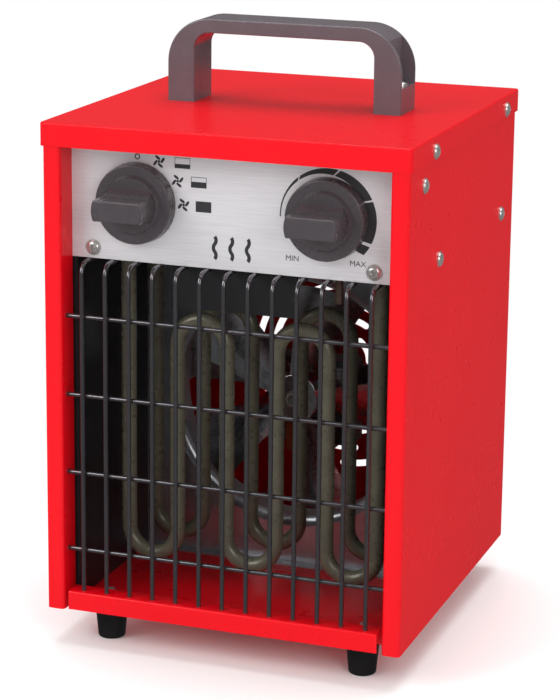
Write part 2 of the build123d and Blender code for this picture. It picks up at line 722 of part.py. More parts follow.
def end_bracket(y, turn):
    """A motor end bracket along Y: a bridge plate over the core with a bearing boss on it."""
    with BuildPart() as bracket:
        with BuildSketch():
            with Locations((0, 0)):
                Circle(BEARING_RADIUS + END_PLATE)
            corners = [(side * MOTOR_SCREW_X, MOTOR_SCREW_RISE) for side in (-1, 1)]
            with Locations(*corners):
                Circle(BEARING_RADIUS * 0.7)
            make_hull()
            with Locations(*corners):
                Circle(SCREW_HOLE, mode=Mode.SUBTRACT)
        extrude(amount=END_PLATE)
        Cylinder(BEARING_RADIUS, BEARING_LENGTH, align=(Align.CENTER, Align.CENTER, Align.MIN))
        Cylinder(shaft_bore, 3 * BEARING_LENGTH, mode=Mode.SUBTRACT)
    with BuildPart() as placed:
        with Locations(at(0, y, FAN_Z, turn)):
            add(bracket.part)
    return placed


TO_BACK_UPRIGHT = (-90, 0, 180)
motor_bracket_front = end_bracket(core_y, TO_FRONT)
motor_bracket_back = end_bracket(core_y + CORE_THICK, TO_BACK_UPRIGHT)

# Motor strap: carries the motor behind the fan and stands on the shroud plate
strap_y = core_y + CORE_THICK + BEARING_LENGTH + STRAP_GAP
strap_base = SHROUD + LINER_SHEET

with BuildPart() as motor_strap:
    with BuildSketch(Plane.XY.offset(FAN_Z - STRAP_HEIGHT / 2)):
        add(folded_profile(
            (
                (-LINER_X, strap_base), (-STRAP_HALF_WIDTH, strap_base), (-STRAP_HALF_WIDTH, strap_y),
                (STRAP_HALF_WIDTH, strap_y), (STRAP_HALF_WIDTH, strap_base), (LINER_X, strap_base),
            ),
            FOLD, STRAP_SHEET, Side.LEFT,
        ))
    extrude(amount=STRAP_HEIGHT)
    with Locations(at(0, strap_y, FAN_Z, TO_BACK)):
        Cylinder(SHAFT_RADIUS + STRAP_SHEET, 4 * STRAP_SHEET, mode=Mode.SUBTRACT)
    with Locations(*[at(x, strap_y, z, TO_BACK) for x, z in motor_screws_at]):
        Cylinder(SCREW_HOLE, 4 * STRAP_SHEET, mode=Mode.SUBTRACT)

motor_screw_length = strap_y + STRAP_SHEET - core_y + END_PLATE + SMALL_NUT_THICK

with BuildPart() as motor_screws:
    with Locations(*[at(x, strap_y + STRAP_SHEET, z, TO_BACK) for x, z in motor_screws_at]):
        add(pan_screw(HANDLE_HEAD_RADIUS, motor_screw_length))

with BuildPart() as motor_nuts:
    with Locations(*[at(x, core_y - END_PLATE, z, TO_FRONT) for x, z in motor_screws_at]):
        add(hex_nut(SMALL_NUT_FLATS, SMALL_NUT_THICK, SHANK_RADIUS + RUNNING_GAP))

with BuildPart() as motor_spacers:
    spacer_start = core_y + CORE_THICK + END_PLATE
    with Locations(*[at(x, spacer_start, z, TO_BACK) for x, z in motor_screws_at]):
        Cylinder(
            2 * SHANK_RADIUS, strap_y - spacer_start, align=(Align.CENTER, Align.CENTER, Align.MIN)
        )
        Cylinder(SCREW_HOLE, 3 * (strap_y - spacer_start), mode=Mode.SUBTRACT)


def control_body(x, width, height, depth):
    """A switch or thermostat body behind the panel, with a bushing through the panel's hole."""
    with BuildPart() as body:
        with BuildSketch(Plane.XZ.offset(-PANEL_BACK)):
            with Locations((x, KNOB_Z)):
                RectangleRounded(width, height, 4)
        extrude(amount=-depth)
        with Locations(at(x, PANEL_BACK, KNOB_Z, TO_FRONT)):
            Cylinder(
                BUSHING_RADIUS, SHEET + BUSHING_PROUD, align=(Align.CENTER, Align.CENTER, Align.MIN)
            )
        with Locations(at(x, PANEL_BACK + SHAFT_INSIDE, KNOB_Z, TO_FRONT)):
            Cylinder(
                shaft_bore, 2 * SHAFT_INSIDE, align=(Align.CENTER, Align.CENTER, Align.MIN),
                mode=Mode.SUBTRACT,
            )
    return body


mode_switch = control_body(-KNOB_X, SWITCH_SIZE, SWITCH_SIZE, SWITCH_DEPTH)
thermostat = control_body(KNOB_X, THERMOSTAT_WIDTH, THERMOSTAT_HEIGHT, THERMOSTAT_DEPTH)

with BuildPart() as thermostat_bulb:
    bulb_top = KNOB_Z - THERMOSTAT_HEIGHT / 2
    with Locations((BULB_X, bulb_y, BASE + BULB_BOTTOM)):
        Cylinder(
            BULB_RADIUS, bulb_top - BASE - BULB_BOTTOM, align=(Align.CENTER, Align.CENTER, Align.MIN)
        )
    fillet(thermostat_bulb.edges().sort_by(Axis.Z)[0], radius=BULB_RADIUS * 0.6)


# Knobs: a grip with scooped flanks on a low boss and a hollow skirt
boss_top = SKIRT_THICK + BOSS_THICK
grip_neck = boss_top + GRIP_FLARE

with BuildPart() as knob_grip:
    with BuildSketch(Plane.YZ.offset(-GRIP_RADIUS)):
        with BuildLine():
            scoop = TangentArc(
                (GRIP_HALF_WIDTH, grip_neck), (GRIP_ROOT_HALF_WIDTH, boss_top), tangent=(0, -1)
            )
            Polyline(
                scoop @ 0, (GRIP_HALF_WIDTH, KNOB_LENGTH), (0, KNOB_LENGTH), (0, SKIRT_THICK),
                (GRIP_ROOT_HALF_WIDTH, SKIRT_THICK), scoop @ 1,
            )
        make_face()
        mirror(about=Plane.YZ)
    extrude(amount=2 * GRIP_RADIUS)
    Cylinder(GRIP_RADIUS, 3 * KNOB_LENGTH, mode=Mode.INTERSECT)
    fillet(knob_grip.faces().sort_by(Axis.Z)[-1].edges(), radius=KNOB_EDGE)

with BuildPart() as knob:
    with BuildSketch(Plane.XZ):
        with BuildLine():
            Polyline(
                (0, 0), (SKIRT_RADIUS, 0), (SKIRT_FRONT_RADIUS, SKIRT_THICK),
                (BOSS_RADIUS, SKIRT_THICK), (BOSS_FRONT_RADIUS, boss_top), (0, boss_top), (0, 0),
            )
        make_face()
    revolve(axis=Axis.Z)
    skirt_rim = knob.edges().filter_by(GeomType.CIRCLE).group_by(Axis.Z)[1].sort_by(SortBy.RADIUS)[-1]
    fillet(skirt_rim, radius=KNOB_EDGE)
    add(knob_grip.part)
    with BuildSketch():
        Circle(SKIRT_RADIUS - KNOB_WALL)
    extrude(amount=SKIRT_THICK - KNOB_WALL, mode=Mode.SUBTRACT)
    with Locations((0, 0, KNOB_CORE_SETBACK)):
        Cylinder(
            KNOB_CORE_RADIUS, SKIRT_THICK - KNOB_CORE_SETBACK,
            align=(Align.CENTER, Align.CENTER, Align.MIN),
        )
    with BuildSketch():
        Circle(shaft_bore)
    extrude(amount=KNOB_BORE_DEPTH, mode=Mode.SUBTRACT)

knob_back = PANEL_FACE - KNOB_GAP

with BuildPart() as mode_knob:
    with Locations(at(-KNOB_X, knob_back, KNOB_Z, TO_FRONT)):
        add(knob.part)

with BuildPart() as thermostat_knob:
    with Locations(at(KNOB_X, knob_back, KNOB_Z, TO_FRONT)):
        add(knob.part)

shaft_tip = knob_back - KNOB_BORE_DEPTH + RUNNING_GAP
shaft_root = PANEL_BACK + SHAFT_INSIDE - RUNNING_GAP

with BuildPart() as mode_shaft:
    with Locations(at(-KNOB_X, shaft_root, KNOB_Z, TO_FRONT)):
        Cylinder(
            SHAFT_RADIUS, shaft_root - shaft_tip, align=(Align.CENTER, Align.CENTER, Align.MIN)
        )

with BuildPart() as thermostat_shaft:
    with Locations(at(KNOB_X, shaft_root, KNOB_Z, TO_FRONT)):
        Cylinder(
            SHAFT_RADIUS, shaft_root - shaft_tip, align=(Align.CENTER, Align.CENTER, Align.MIN)
        )

# Over-temperature cut-out and terminal block on top of the partition
with BuildPart() as thermal_cutout:
    with Locations((0, FRONT + CUTOUT_DEPTH, PARTITION_TOP)):
        Cylinder(CUTOUT_RADIUS, CUTOUT_HEIGHT, align=(Align.CENTER, Align.CENTER, Align.MIN))
        Cylinder(CUTOUT_RADIUS * 1.3, SHEET, align=(Align.CENTER, Align.CENTER, Align.MIN))
    with Locations(*[
        (side * CUTOUT_RADIUS / 2, FRONT + CUTOUT_DEPTH, PARTITION_TOP + CUTOUT_HEIGHT) for side in (-1, 1)
    ]):
        Box(SHEET, CUTOUT_RADIUS * 0.75, CUTOUT_HEIGHT, align=(Align.CENTER, Align.CENTER, Align.MIN))

with BuildPart() as terminal_block:
    block_y = FRONT + BLOCK_DEPTH
    with Locations((BLOCK_X, block_y, PARTITION_TOP)):
        Box(BLOCK_LENGTH, BLOCK_WIDTH, BLOCK_HEIGHT, align=(Align.CENTER, Align.CENTER, Align.MIN))
    fillet(terminal_block.edges().filter_by(Axis.X).group_by(Axis.Z)[-1], radius=2)
    with Locations((BLOCK_X, block_y, PARTITION_TOP + BLOCK_HEIGHT / 2)):
        with GridLocations(BLOCK_LENGTH / BLOCK_WAYS, 0, BLOCK_WAYS, 1):
            Cylinder(BLOCK_HEIGHT / 5, 2 * BLOCK_WIDTH, rotation=TO_BACK, mode=Mode.SUBTRACT)

# Cable gland through the back panel, with its lock nut inside
with BuildPart() as cable_gland:
    gland_spot = at(GLAND_X, BACK, BASE + GLAND_HEIGHT, TO_BACK)
    with Locations(gland_spot):
        add(hex_nut(GLAND_FLATS, GLAND_HEX, GLAND_BORE))
        Cylinder(GLAND_RADIUS, GLAND_PROUD, align=(Align.CENTER, Align.CENTER, Align.MIN))
    fillet(cable_gland.edges().filter_by(GeomType.CIRCLE).sort_by(Axis.Y)[-1], radius=3)
    inside_spot = at(GLAND_X, BACK, BASE + GLAND_HEIGHT, TO_FRONT)
    with Locations(inside_spot):
        Cylinder(GLAND_RADIUS, GLAND_INSIDE, align=(Align.CENTER, Align.CENTER, Align.MIN))
    with Locations(gland_spot):
        Cylinder(GLAND_BORE, 4 * GLAND_PROUD, mode=Mode.SUBTRACT)

with BuildPart() as gland_nut:
    with Locations(at(GLAND_X, back_flange, BASE + GLAND_HEIGHT, TO_FRONT)):
        add(hex_nut(GLAND_FLATS, GLAND_NUT_THICK, GLAND_RADIUS + RUNNING_GAP))

# Handle: a moulded bow with a screw well let into each shoulder
with BuildPart() as handle:
    with BuildSketch(Plane.XZ.offset(-(MIDDLE - HANDLE_DEPTH / 2))) as bow:
        with Locations((0, TOP)):
            Rectangle(2 * HANDLE_HALF_WIDTH, HANDLE_HEIGHT, align=(Align.CENTER, Align.MIN))
        fillet(bow.vertices().group_by(Axis.Y)[-1], radius=HANDLE_SHOULDER)
        with BuildSketch(mode=Mode.PRIVATE) as gap:
            with Locations((0, TOP)):
                Rectangle(
                    2 * (HANDLE_HALF_WIDTH - HANDLE_LEG), HANDLE_HEIGHT - HANDLE_BAR,
                    align=(Align.CENTER, Align.MIN),
                )
            fillet(gap.vertices().group_by(Axis.Y)[-1], radius=HANDLE_INNER_RADIUS)
        add(gap.sketch, mode=Mode.SUBTRACT)
    extrude(amount=-HANDLE_DEPTH)
    faces = handle.faces().sort_by(Axis.Y)
    rounded = [
        edge for face in (faces[0], faces[-1]) for edge in face.edges()
        if edge.center().Z > TOP + HANDLE_EDGE
    ]
    fillet(rounded, radius=HANDLE_EDGE)
    well_width = HANDLE_DEPTH - 2 * WELL_WALL
    for side in (-1, 1):
        with Locations((side * (HANDLE_HALF_WIDTH - WELL_INSET / 2), MIDDLE, TOP + WELL_FLOOR)):
            Box(
                WELL_INSET, well_width, HANDLE_HEIGHT,
                align=(Align.CENTER, Align.CENTER, Align.MIN), mode=Mode.SUBTRACT,
            )
        with Locations((side * handle_screw_x, MIDDLE, TOP)):
            Cylinder(SCREW_HOLE, 4 * WELL_FLOOR, mode=Mode.SUBTRACT)

with BuildPart() as handle_screws:
    with Locations(*[(side * handle_screw_x, MIDDLE, TOP + WELL_FLOOR) for side in (-1, 1)]):
        add(pan_screw(HANDLE_HEAD_RADIUS, WELL_FLOOR + SHEET + HANDLE_SCREW_BELOW))

with BuildPart() as handle_nuts:
    with Locations(*[at(side * handle_screw_x, MIDDLE, CAP_UNDERSIDE, DOWN) for side in (-1, 1)]):
        add(hex_nut(SMALL_NUT_FLATS, SMALL_NUT_THICK, SHANK_RADIUS + RUNNING_GAP))

# Feet: tapered rubber bumpers, each with a screw up its well into the tray
foot_top = BASE + TRAY_LIFT

with BuildPart() as foot:
    with BuildSketch(Plane.XZ):
        with BuildLine():
            Polyline(
                (FOOT_WELL_RADIUS, 0), (FOOT_BOTTOM_RADIUS, 0), (FOOT_RADIUS, foot_top),
                (SCREW_HOLE, foot_top), (SCREW_HOLE, FOOT_WELL_DEPTH),
                (FOOT_WELL_RADIUS, FOOT_WELL_DEPTH), (FOOT_WELL_RADIUS, 0),
            )
        make_face()
    revolve(axis=Axis.Z)
    fillet(foot.edges().group_by(Axis.Z)[0].sort_by(SortBy.RADIUS)[-1], radius=FOOT_EDGE)

foot_names = ("foot_front_left", "foot_front_right", "foot_back_left", "foot_back_right")
feet = []
for x, y in foot_places:
    with BuildPart() as placed_foot:
        with Locations((x, y, 0)):
            add(foot.part)
    feet.append(placed_foot)

foot_screw_length = foot_top - FOOT_WELL_DEPTH + SHEET + FOOT_SCREW_ABOVE

with BuildPart() as foot_screws:
    with Locations(*[at(x, y, FOOT_WELL_DEPTH, DOWN) for x, y in foot_places]):
        add(pan_screw(HEAD_RADIUS, foot_screw_length))

with BuildPart() as foot_nuts:
    with Locations(*[(x, y, FLOOR) for x, y in foot_places]):
        add(hex_nut(SMALL_NUT_FLATS, SMALL_NUT_THICK, SHANK_RADIUS + RUNNING_GAP))

# Casing screws
flat_screw = collar_screw(SHANK_LENGTH)

with BuildPart() as panel_screws:
    with Locations(*[at(side * PANEL_SCREW_X, PANEL_FACE, panel_screw_z, TO_FRONT) for side in (-1, 1)]):
        add(flat_screw)

with BuildPart() as side_screws:
    for side, turn in ((-1, TO_LEFT), (1, TO_RIGHT)):
        with Locations(*[at(side * HALF_WIDTH, y, z, turn) for y, z in side_holes]):
            add(flat_screw)

with BuildPart() as cap_screws:
    for side, turn in ((-1, TO_LEFT), (1, TO_RIGHT)):
        with Locations(*[at(side * cap_half, y, z, turn) for y, z in cap_holes]):
            add(flat_screw)

with BuildPart() as back_screws:
    with Locations(*[at(side * screw_x, BACK, z, TO_BACK) for side in (-1, 1) for z in back_holes]):
        add(flat_screw)
    with Locations(*[at(side * TRAY_SCREW_X, BACK, tray_screw_z, TO_BACK) for side in (-1, 1)]):
        add(flat_screw)

pieces = {
    "side_panel_left": side_panel_left,
    "side_panel_right": side_panel_right,
    "top_cover": top_cover,
    "base_tray": base_tray,
    "back_panel": back_panel,
    "control_panel": control_panel,
    "partition": partition,
    "shield_plate": shield_plate,
    "front_guard": front_guard,
    "heating_element_front": heating_element_front,
    "heating_element_back": heating_element_back,
    "element_nuts": element_nuts,
    "terminal_insulators": terminal_insulators,
    "terminal_studs": terminal_studs,
    "duct_liner_left": duct_liner_left,
    "duct_liner_right": duct_liner_right,
    "fan_shroud": fan_shroud,
    "fan": fan,
    "fan_nut": fan_nut,
    "motor_shaft": motor_shaft,
    "motor_rotor": motor_rotor,
    "motor_core": motor_core,
    "motor_coil": motor_coil,
    "motor_bracket_front": motor_bracket_front,
    "motor_bracket_back": motor_bracket_back,
    "motor_strap": motor_strap,
    "motor_screws": motor_screws,
    "motor_nuts": motor_nuts,
    "motor_spacers": motor_spacers,
    "mode_switch": mode_switch,
    "thermostat": thermostat,
    "thermostat_bulb": thermostat_bulb,
    "mode_knob": mode_knob,
    "thermostat_knob": thermostat_knob,
    "mode_shaft": mode_shaft,
    "thermostat_shaft": thermostat_shaft,
    "thermal_cutout": thermal_cutout,
    "terminal_block": terminal_block,
    "cable_gland": cable_gland,
    "gland_nut": gland_nut,
    "handle": handle,
    "handle_screws": handle_screws,
    "handle_nuts": handle_nuts,
    "foot_screws": foot_screws,
    "foot_nuts": foot_nuts,
    "panel_screws": panel_screws,
    "side_screws": side_screws,
    "cap_screws": cap_screws,
    "back_screws": back_screws,
}
pieces.update(zip(foot_names, feet))

os.makedirs("parts", exist_ok=True)
for label, piece in pieces.items():
    write(piece, label)
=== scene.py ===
import logging
import math
from dataclasses import dataclass, field
from enum import Enum
from functools import lru_cache
from typing import Callable, Sequence

import bpy
from mathutils import Matrix, Vector


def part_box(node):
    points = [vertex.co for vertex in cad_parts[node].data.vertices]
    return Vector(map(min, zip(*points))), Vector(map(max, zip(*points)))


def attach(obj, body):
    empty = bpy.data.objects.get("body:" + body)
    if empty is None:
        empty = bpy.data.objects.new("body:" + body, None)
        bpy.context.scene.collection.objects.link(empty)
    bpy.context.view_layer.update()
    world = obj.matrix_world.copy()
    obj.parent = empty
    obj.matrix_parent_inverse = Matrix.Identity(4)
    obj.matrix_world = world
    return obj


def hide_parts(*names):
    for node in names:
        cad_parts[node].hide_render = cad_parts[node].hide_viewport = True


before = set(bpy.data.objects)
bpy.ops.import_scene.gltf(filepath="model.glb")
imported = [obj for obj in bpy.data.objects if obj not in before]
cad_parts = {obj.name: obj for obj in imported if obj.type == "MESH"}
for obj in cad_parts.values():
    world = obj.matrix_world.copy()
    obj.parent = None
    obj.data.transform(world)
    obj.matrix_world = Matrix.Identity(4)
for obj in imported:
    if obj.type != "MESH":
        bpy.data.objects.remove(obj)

# Looks of a portable box heater: painted sheet casing, brushed control panel with its printing,
# wire guard, serpentine elements, fan, knobs, handle and feet. Metres, in the frame's own axes.

log = logging.getLogger("heater")

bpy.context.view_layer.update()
MM = 0.001
CASING_BODY = "casing"
QUARTER_TURN = math.pi / 2
NOISE_LOW, NOISE_HIGH = 0.3, 0.7
FACING_LIMIT = 0.9


class Facing(Enum):
    """The way a screw's head points."""

    FRONT = (0, -1, 0)
    BACK = (0, 1, 0)
    LEFT = (-1, 0, 0)
    RIGHT = (1, 0, 0)
    UP = (0, 0, 1)
    DOWN = (0, 0, -1)

    def turn(self) -> Matrix:
        """Rotation that takes local +Z to this direction."""
        return Vector(self.value).to_track_quat("Z", "Y").to_matrix().to_4x4()


def linear(colour: Sequence[int]) -> tuple[float, float, float, float]:
    """Turn a displayed colour into a shader colour.

    Args:
        colour: Red, green and blue from 0 to 255, as seen.

    Returns:
        Linear red, green, blue and an alpha of one.
    """
    channels = [c / 255 for c in colour]
    low, split, lift, power = 12.92, 0.04045, 0.055, 2.4
    out = [c / low if c <= split else ((c + lift) / (1 + lift)) ** power for c in channels]
    return (*out, 1.0)


class NodeGraph:
    """A material's shader graph, with short ways to add what the finishes use."""

    def __init__(self, name: str) -> None:
        """Start a material with its main surface shader.

        Args:
            name: The material's name.
        """
        self.material = bpy.data.materials.new(name)
        self.material.use_nodes = True
        self.nodes = self.material.node_tree.nodes
        self.surface = self.nodes["Principled BSDF"]

    def join(self, source: bpy.types.NodeSocket, target: bpy.types.NodeSocket) -> None:
        """Link two sockets."""
        self.material.node_tree.links.new(source, target)

    def place(self, stretch: Sequence[float] = (1, 1, 1)) -> bpy.types.NodeSocket:
        """Object coordinates, scaled along each axis.

        Args:
            stretch: Scale along X, Y and Z.

        Returns:
            The vector socket.
        """
        where = self.nodes.new("ShaderNodeTexCoord")
        mapping = self.nodes.new("ShaderNodeMapping")
        mapping.inputs["Scale"].default_value = stretch
        self.join(where.outputs["Object"], mapping.inputs["Vector"])
        return mapping.outputs["Vector"]

    def noise(
        self, size: float, detail: float = 2.0, stretch: Sequence[float] = (1, 1, 1)
    ) -> bpy.types.NodeSocket:
        """Noise whose features are about one size.

        Args:
            size: Feature size in metres.
            detail: Octaves of finer noise.
            stretch: Scale along X, Y and Z.

        Returns:
            The value socket.
        """
        texture = self.nodes.new("ShaderNodeTexNoise")
        texture.inputs["Scale"].default_value = 1 / size
        texture.inputs["Detail"].default_value = detail
        self.join(self.place(stretch), texture.inputs["Vector"])
        return texture.outputs["Fac"]

    def cells(self, size: float) -> bpy.types.NodeSocket:
        """Random value per crystal-like cell.

        Args:
            size: Cell size in metres.

        Returns:
            The colour socket, one colour to each cell.
        """
        texture = self.nodes.new("ShaderNodeTexVoronoi")
        texture.inputs["Scale"].default_value = 1 / size
        self.join(self.place(), texture.inputs["Vector"])
        return texture.outputs["Color"]

    def bands(self, pitch: float, axis: str) -> bpy.types.NodeSocket:
        """Even ridges along one axis.

        Args:
            pitch: Distance between ridges in metres.
            axis: X, Y or Z.

        Returns:
            The value socket.
        """
        texture = self.nodes.new("ShaderNodeTexWave")
        texture.wave_type = "BANDS"
        texture.bands_direction = axis
        texture.inputs["Scale"].default_value = math.pi / 10 / pitch
        self.join(self.place(), texture.inputs["Vector"])
        return texture.outputs["Fac"]

    def span(
        self, source: bpy.types.NodeSocket, low: float, high: float
    ) -> bpy.types.NodeSocket:
        """Map noise to a range.

        Args:
            source: A value that stays mostly between NOISE_LOW and NOISE_HIGH.
            low: The result at NOISE_LOW.
            high: The result at NOISE_HIGH.

        Returns:
            The mapped socket.
        """
        node = self.nodes.new("ShaderNodeMapRange")
        ends = {"From Min": NOISE_LOW, "From Max": NOISE_HIGH, "To Min": low, "To Max": high}
        for name, value in ends.items():
            node.inputs[name].default_value = value
        self.join(source, node.inputs["Value"])
        return node.outputs["Result"]

    def tint(
        self, source: bpy.types.NodeSocket, dark: Sequence[float], light: Sequence[float]
    ) -> None:
        """Colour the surface between two colours.

        Args:
            source: The value that chooses between them.
            dark: Colour at a low value.
            light: Colour at a high value.
        """
        ramp = self.nodes.new("ShaderNodeValToRGB")
        ends = ramp.color_ramp.elements
        ends[0].position, ends[1].position = NOISE_LOW, NOISE_HIGH
        ends[0].color, ends[1].color = dark, light
        self.join(source, ramp.inputs["Fac"])
        self.join(ramp.outputs["Color"], self.surface.inputs["Base Color"])

    def relief(self, height: bpy.types.NodeSocket, depth: float) -> None:
        """Raise the surface by a texture, unless its depth is nothing.

        Args:
            height: The height texture.
            depth: Its depth in metres.
        """
        if depth <= 0:
            return
        bump = self.nodes.new("ShaderNodeBump")
        bump.inputs["Distance"].default_value = depth
        self.join(height, bump.inputs["Height"])
        self.join(bump.outputs["Normal"], self.surface.inputs["Normal"])


@dataclass(frozen=True)
class Finish:
    """A plain finish: its colour and gloss wander a little, over a fine grain."""

    name: str
    colour: tuple[int, int, int]
    roughness: float
    metallic: float = 0.0
    coat: float = 0.0
    wander: float = 0.06
    patch: float = 0.03
    grain: float = 0.0007
    depth: float = 0.00001
    gloss_wander: float = 0.05
    specular: float = 0.5

    def shades(self, share: float) -> tuple[tuple[float, ...], tuple[float, ...]]:
        """A darker and a lighter shade of the colour.

        Args:
            share: How far each lies from it.

        Returns:
            The two linear colours.
        """
        base = linear(self.colour)
        return tuple(
            tuple(min(1.0, c * (1 + sign * share)) for c in base[:3]) + (1.0,) for sign in (-1, 1)
        )

    def paint(self, graph: NodeGraph) -> None:
        """Set colour, gloss and relief on a new graph.

        Args:
            graph: The material's new graph.
        """
        graph.tint(graph.noise(self.patch, 3.0), *self.shades(self.wander))
        low, high = self.roughness - self.gloss_wander, self.roughness + self.gloss_wander
        graph.join(
            graph.span(graph.noise(self.patch / 3, 4.0), low, high),
            graph.surface.inputs["Roughness"],
        )
        graph.relief(graph.noise(self.grain, 0.0), self.depth)

    def material(self) -> bpy.types.Material:
        """The finish's material."""
        return material_of(self)


@lru_cache(maxsize=None)
def material_of(finish: Finish) -> bpy.types.Material:
    """Build a finish's material once.

    Args:
        finish: The finish.

    Returns:
        Its material.
    """
    graph = NodeGraph(finish.name + "_finish")
    graph.surface.inputs["Metallic"].default_value = finish.metallic
    graph.surface.inputs["Coat Weight"].default_value = finish.coat
    graph.surface.inputs["Specular IOR Level"].default_value = finish.specular
    finish.paint(graph)
    return graph.material


@dataclass(frozen=True)
class BrushedFinish(Finish):
    """Sheet brushed with fine lines across its width."""

    line: float = 0.00035
    length: float = 60.0
    stretch: float = 0.5

    def paint(self, graph: NodeGraph) -> None:
        """Set fine streaks in colour, gloss and relief.

        Args:
            graph: The material's new graph.
        """
        along = (1 / self.length, 1, 1)
        streaks = graph.noise(self.line, 4.0, along)
        graph.tint(streaks, *self.shades(self.wander))
        low, high = self.roughness - self.gloss_wander, self.roughness + self.gloss_wander
        graph.join(graph.span(streaks, low, high), graph.surface.inputs["Roughness"])
        graph.relief(streaks, self.depth)
        graph.surface.inputs["Anisotropic"].default_value = self.stretch


@dataclass(frozen=True)
class ZincFinish(Finish):
    """Zinc-coated sheet with a faint crystal pattern."""

    crystal: float = 0.006

    def paint(self, graph: NodeGraph) -> None:
        """Set the crystals in colour and gloss.

        Args:
            graph: The material's new graph.
        """
        crystals = graph.cells(self.crystal)
        graph.tint(crystals, *self.shades(self.wander))
        low, high = self.roughness - self.gloss_wander, self.roughness + self.gloss_wander
        graph.join(graph.span(crystals, low, high), graph.surface.inputs["Roughness"])
        graph.relief(graph.noise(self.grain), self.depth)


@dataclass(frozen=True)
class BandedFinish(Finish):
    """A stack of plates or a winding: even ridges along one axis."""

    pitch: float = 0.001
    axis: str = "Y"

    def paint(self, graph: NodeGraph) -> None:
        """Set the ridges in colour and relief.

        Args:
            graph: The material's new graph.
        """
        ridges = graph.bands(self.pitch, self.axis)
        graph.tint(ridges, *self.shades(self.wander))
        graph.relief(ridges, self.depth)
        graph.surface.inputs["Roughness"].default_value = self.roughness


RED_PAINT = Finish(
    "red_paint", (216, 3, 20), 0.28, wander=0.02, patch=0.08, depth=0.0, gloss_wander=0.01,
    specular=0.25,
)
BRUSHED_PANEL = BrushedFinish(
    "brushed_panel", (214, 212, 215), 0.34, metallic=0.3, wander=0.08, depth=0.000003
)
ZINC_SHEET = ZincFinish(
    "zinc_sheet", (190, 193, 198), 0.30, metallic=0.85, wander=0.04, gloss_wander=0.02,
    crystal=0.004,
)
# Duct liners: zinc-coated sheet coloured near-black, as painted shade for the shaded sides inside
# the chamber.
SHADE_PAINTED_LINER = Finish("shade_painted_liner", (44, 43, 46), 0.34, metallic=0.6, patch=0.02, depth=0.000004)
DARK_PLATE = Finish("dark_plate", (36, 36, 38), 0.42, metallic=0.3, patch=0.012)
GUARD_WIRE = Finish(
    "guard_wire", (112, 110, 114), 0.24, metallic=0.9, patch=0.02, wander=0.05, grain=0.002,
    depth=0.0000005, gloss_wander=0.03
)
ELEMENT_SHEATH = Finish(
    "element_sheath", (98, 96, 82), 0.30, metallic=0.3, patch=0.014, wander=0.14,
    grain=0.0020, depth=0.0000015,
)
SCREW_ZINC = Finish("screw_zinc", (226, 223, 219), 0.30, metallic=0.85, patch=0.003, wander=0.05)
KNOB_PLASTIC = Finish("knob_plastic", (66, 61, 64), 0.28, patch=0.01, grain=0.0004, depth=0.000002)
HANDLE_PLASTIC = Finish(
    "handle_plastic", (94, 86, 91), 0.24, patch=0.02, grain=0.0005, depth=0.000003
)
FOOT_RUBBER = Finish("foot_rubber", (16, 15, 16), 0.55, patch=0.008, grain=0.0006, depth=0.00002)
CONTROL_PLASTIC = Finish("control_plastic", (222, 216, 200), 0.5, patch=0.02)
CERAMIC = Finish("ceramic", (236, 232, 222), 0.25, coat=0.4, patch=0.01)
FAN_METAL = Finish("fan_metal", (196, 198, 202), 0.28, metallic=1.0, patch=0.02, wander=0.08)
CORE_STEEL = BandedFinish(
    "core_steel", (120, 122, 126), 0.45, metallic=0.9, wander=0.25, depth=0.00012, pitch=0.0008
)
COIL_COPPER = BandedFinish(
    "coil_copper", (178, 96, 48), 0.35, metallic=0.8, wander=0.25, depth=0.0002, pitch=0.0007,
    axis="X",
)
BRASS = Finish("brass", (200, 164, 88), 0.3, metallic=1.0, patch=0.006)
SHAFT_STEEL = Finish("shaft_steel", (190, 190, 192), 0.2, metallic=1.0, patch=0.01)
BULB_COPPER = Finish("bulb_copper", (104, 88, 78), 0.36, metallic=0.8, patch=0.006)
INK = Finish("ink", (44, 44, 46), 0.5, patch=0.004, wander=0.05)


def dress(nodes: Sequence[str], finish: Finish) -> None:
    """Give CAD nodes a finish.

    Args:
        nodes: Their names.
        finish: What they are finished in.
    """
    for name in nodes:
        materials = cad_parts[name].data.materials
        materials.clear()
        materials.append(finish.material())


def start_piece() -> None:
    """Leave edit mode and deselect everything, before a new piece is begun."""
    if bpy.context.object and bpy.context.object.mode != "OBJECT":
        bpy.ops.object.mode_set(mode="OBJECT")
    bpy.ops.object.select_all(action="DESELECT")


def looks_up(face: bpy.types.MeshPolygon) -> bool:
    """True for a face whose normal is local +Z."""
    return face.normal.z > FACING_LIMIT


def looks_down(face: bpy.types.MeshPolygon) -> bool:
    """True for a face whose normal is local -Z."""
    return face.normal.z < -FACING_LIMIT


def pick_faces(
    piece: bpy.types.Object, wanted: Callable[[bpy.types.MeshPolygon], bool]
) -> None:
    """Select a piece's faces by a test and stay in edit mode.

    Args:
        piece: The active object.
        wanted: True for each face to select.
    """
    bpy.ops.object.mode_set(mode="OBJECT")
    mesh = piece.data
    for part in (mesh.vertices, mesh.edges, mesh.polygons):
        part.foreach_set("select", [False] * len(part))
    bpy.context.tool_settings.mesh_select_mode = (False, False, True)
    for face in mesh.polygons:
        face.select = wanted(face)
    bpy.ops.object.mode_set(mode="EDIT")


def push_out(distance: Sequence[float]) -> None:
    """Extrude the selection by a vector, in metres."""
    bpy.ops.mesh.extrude_region_move(TRANSFORM_OT_translate={"value": tuple(distance)})


def join_all(parts: Sequence[bpy.types.Object]) -> bpy.types.Object:
    """Join objects into the first one.

    Args:
        parts: What to join.

    Returns:
        The joined object.
    """
    start_piece()
    for part in parts:
        part.select_set(True)
    bpy.context.view_layer.objects.active = parts[0]
    if len(parts) > 1:
        bpy.ops.object.join()
    return bpy.context.object


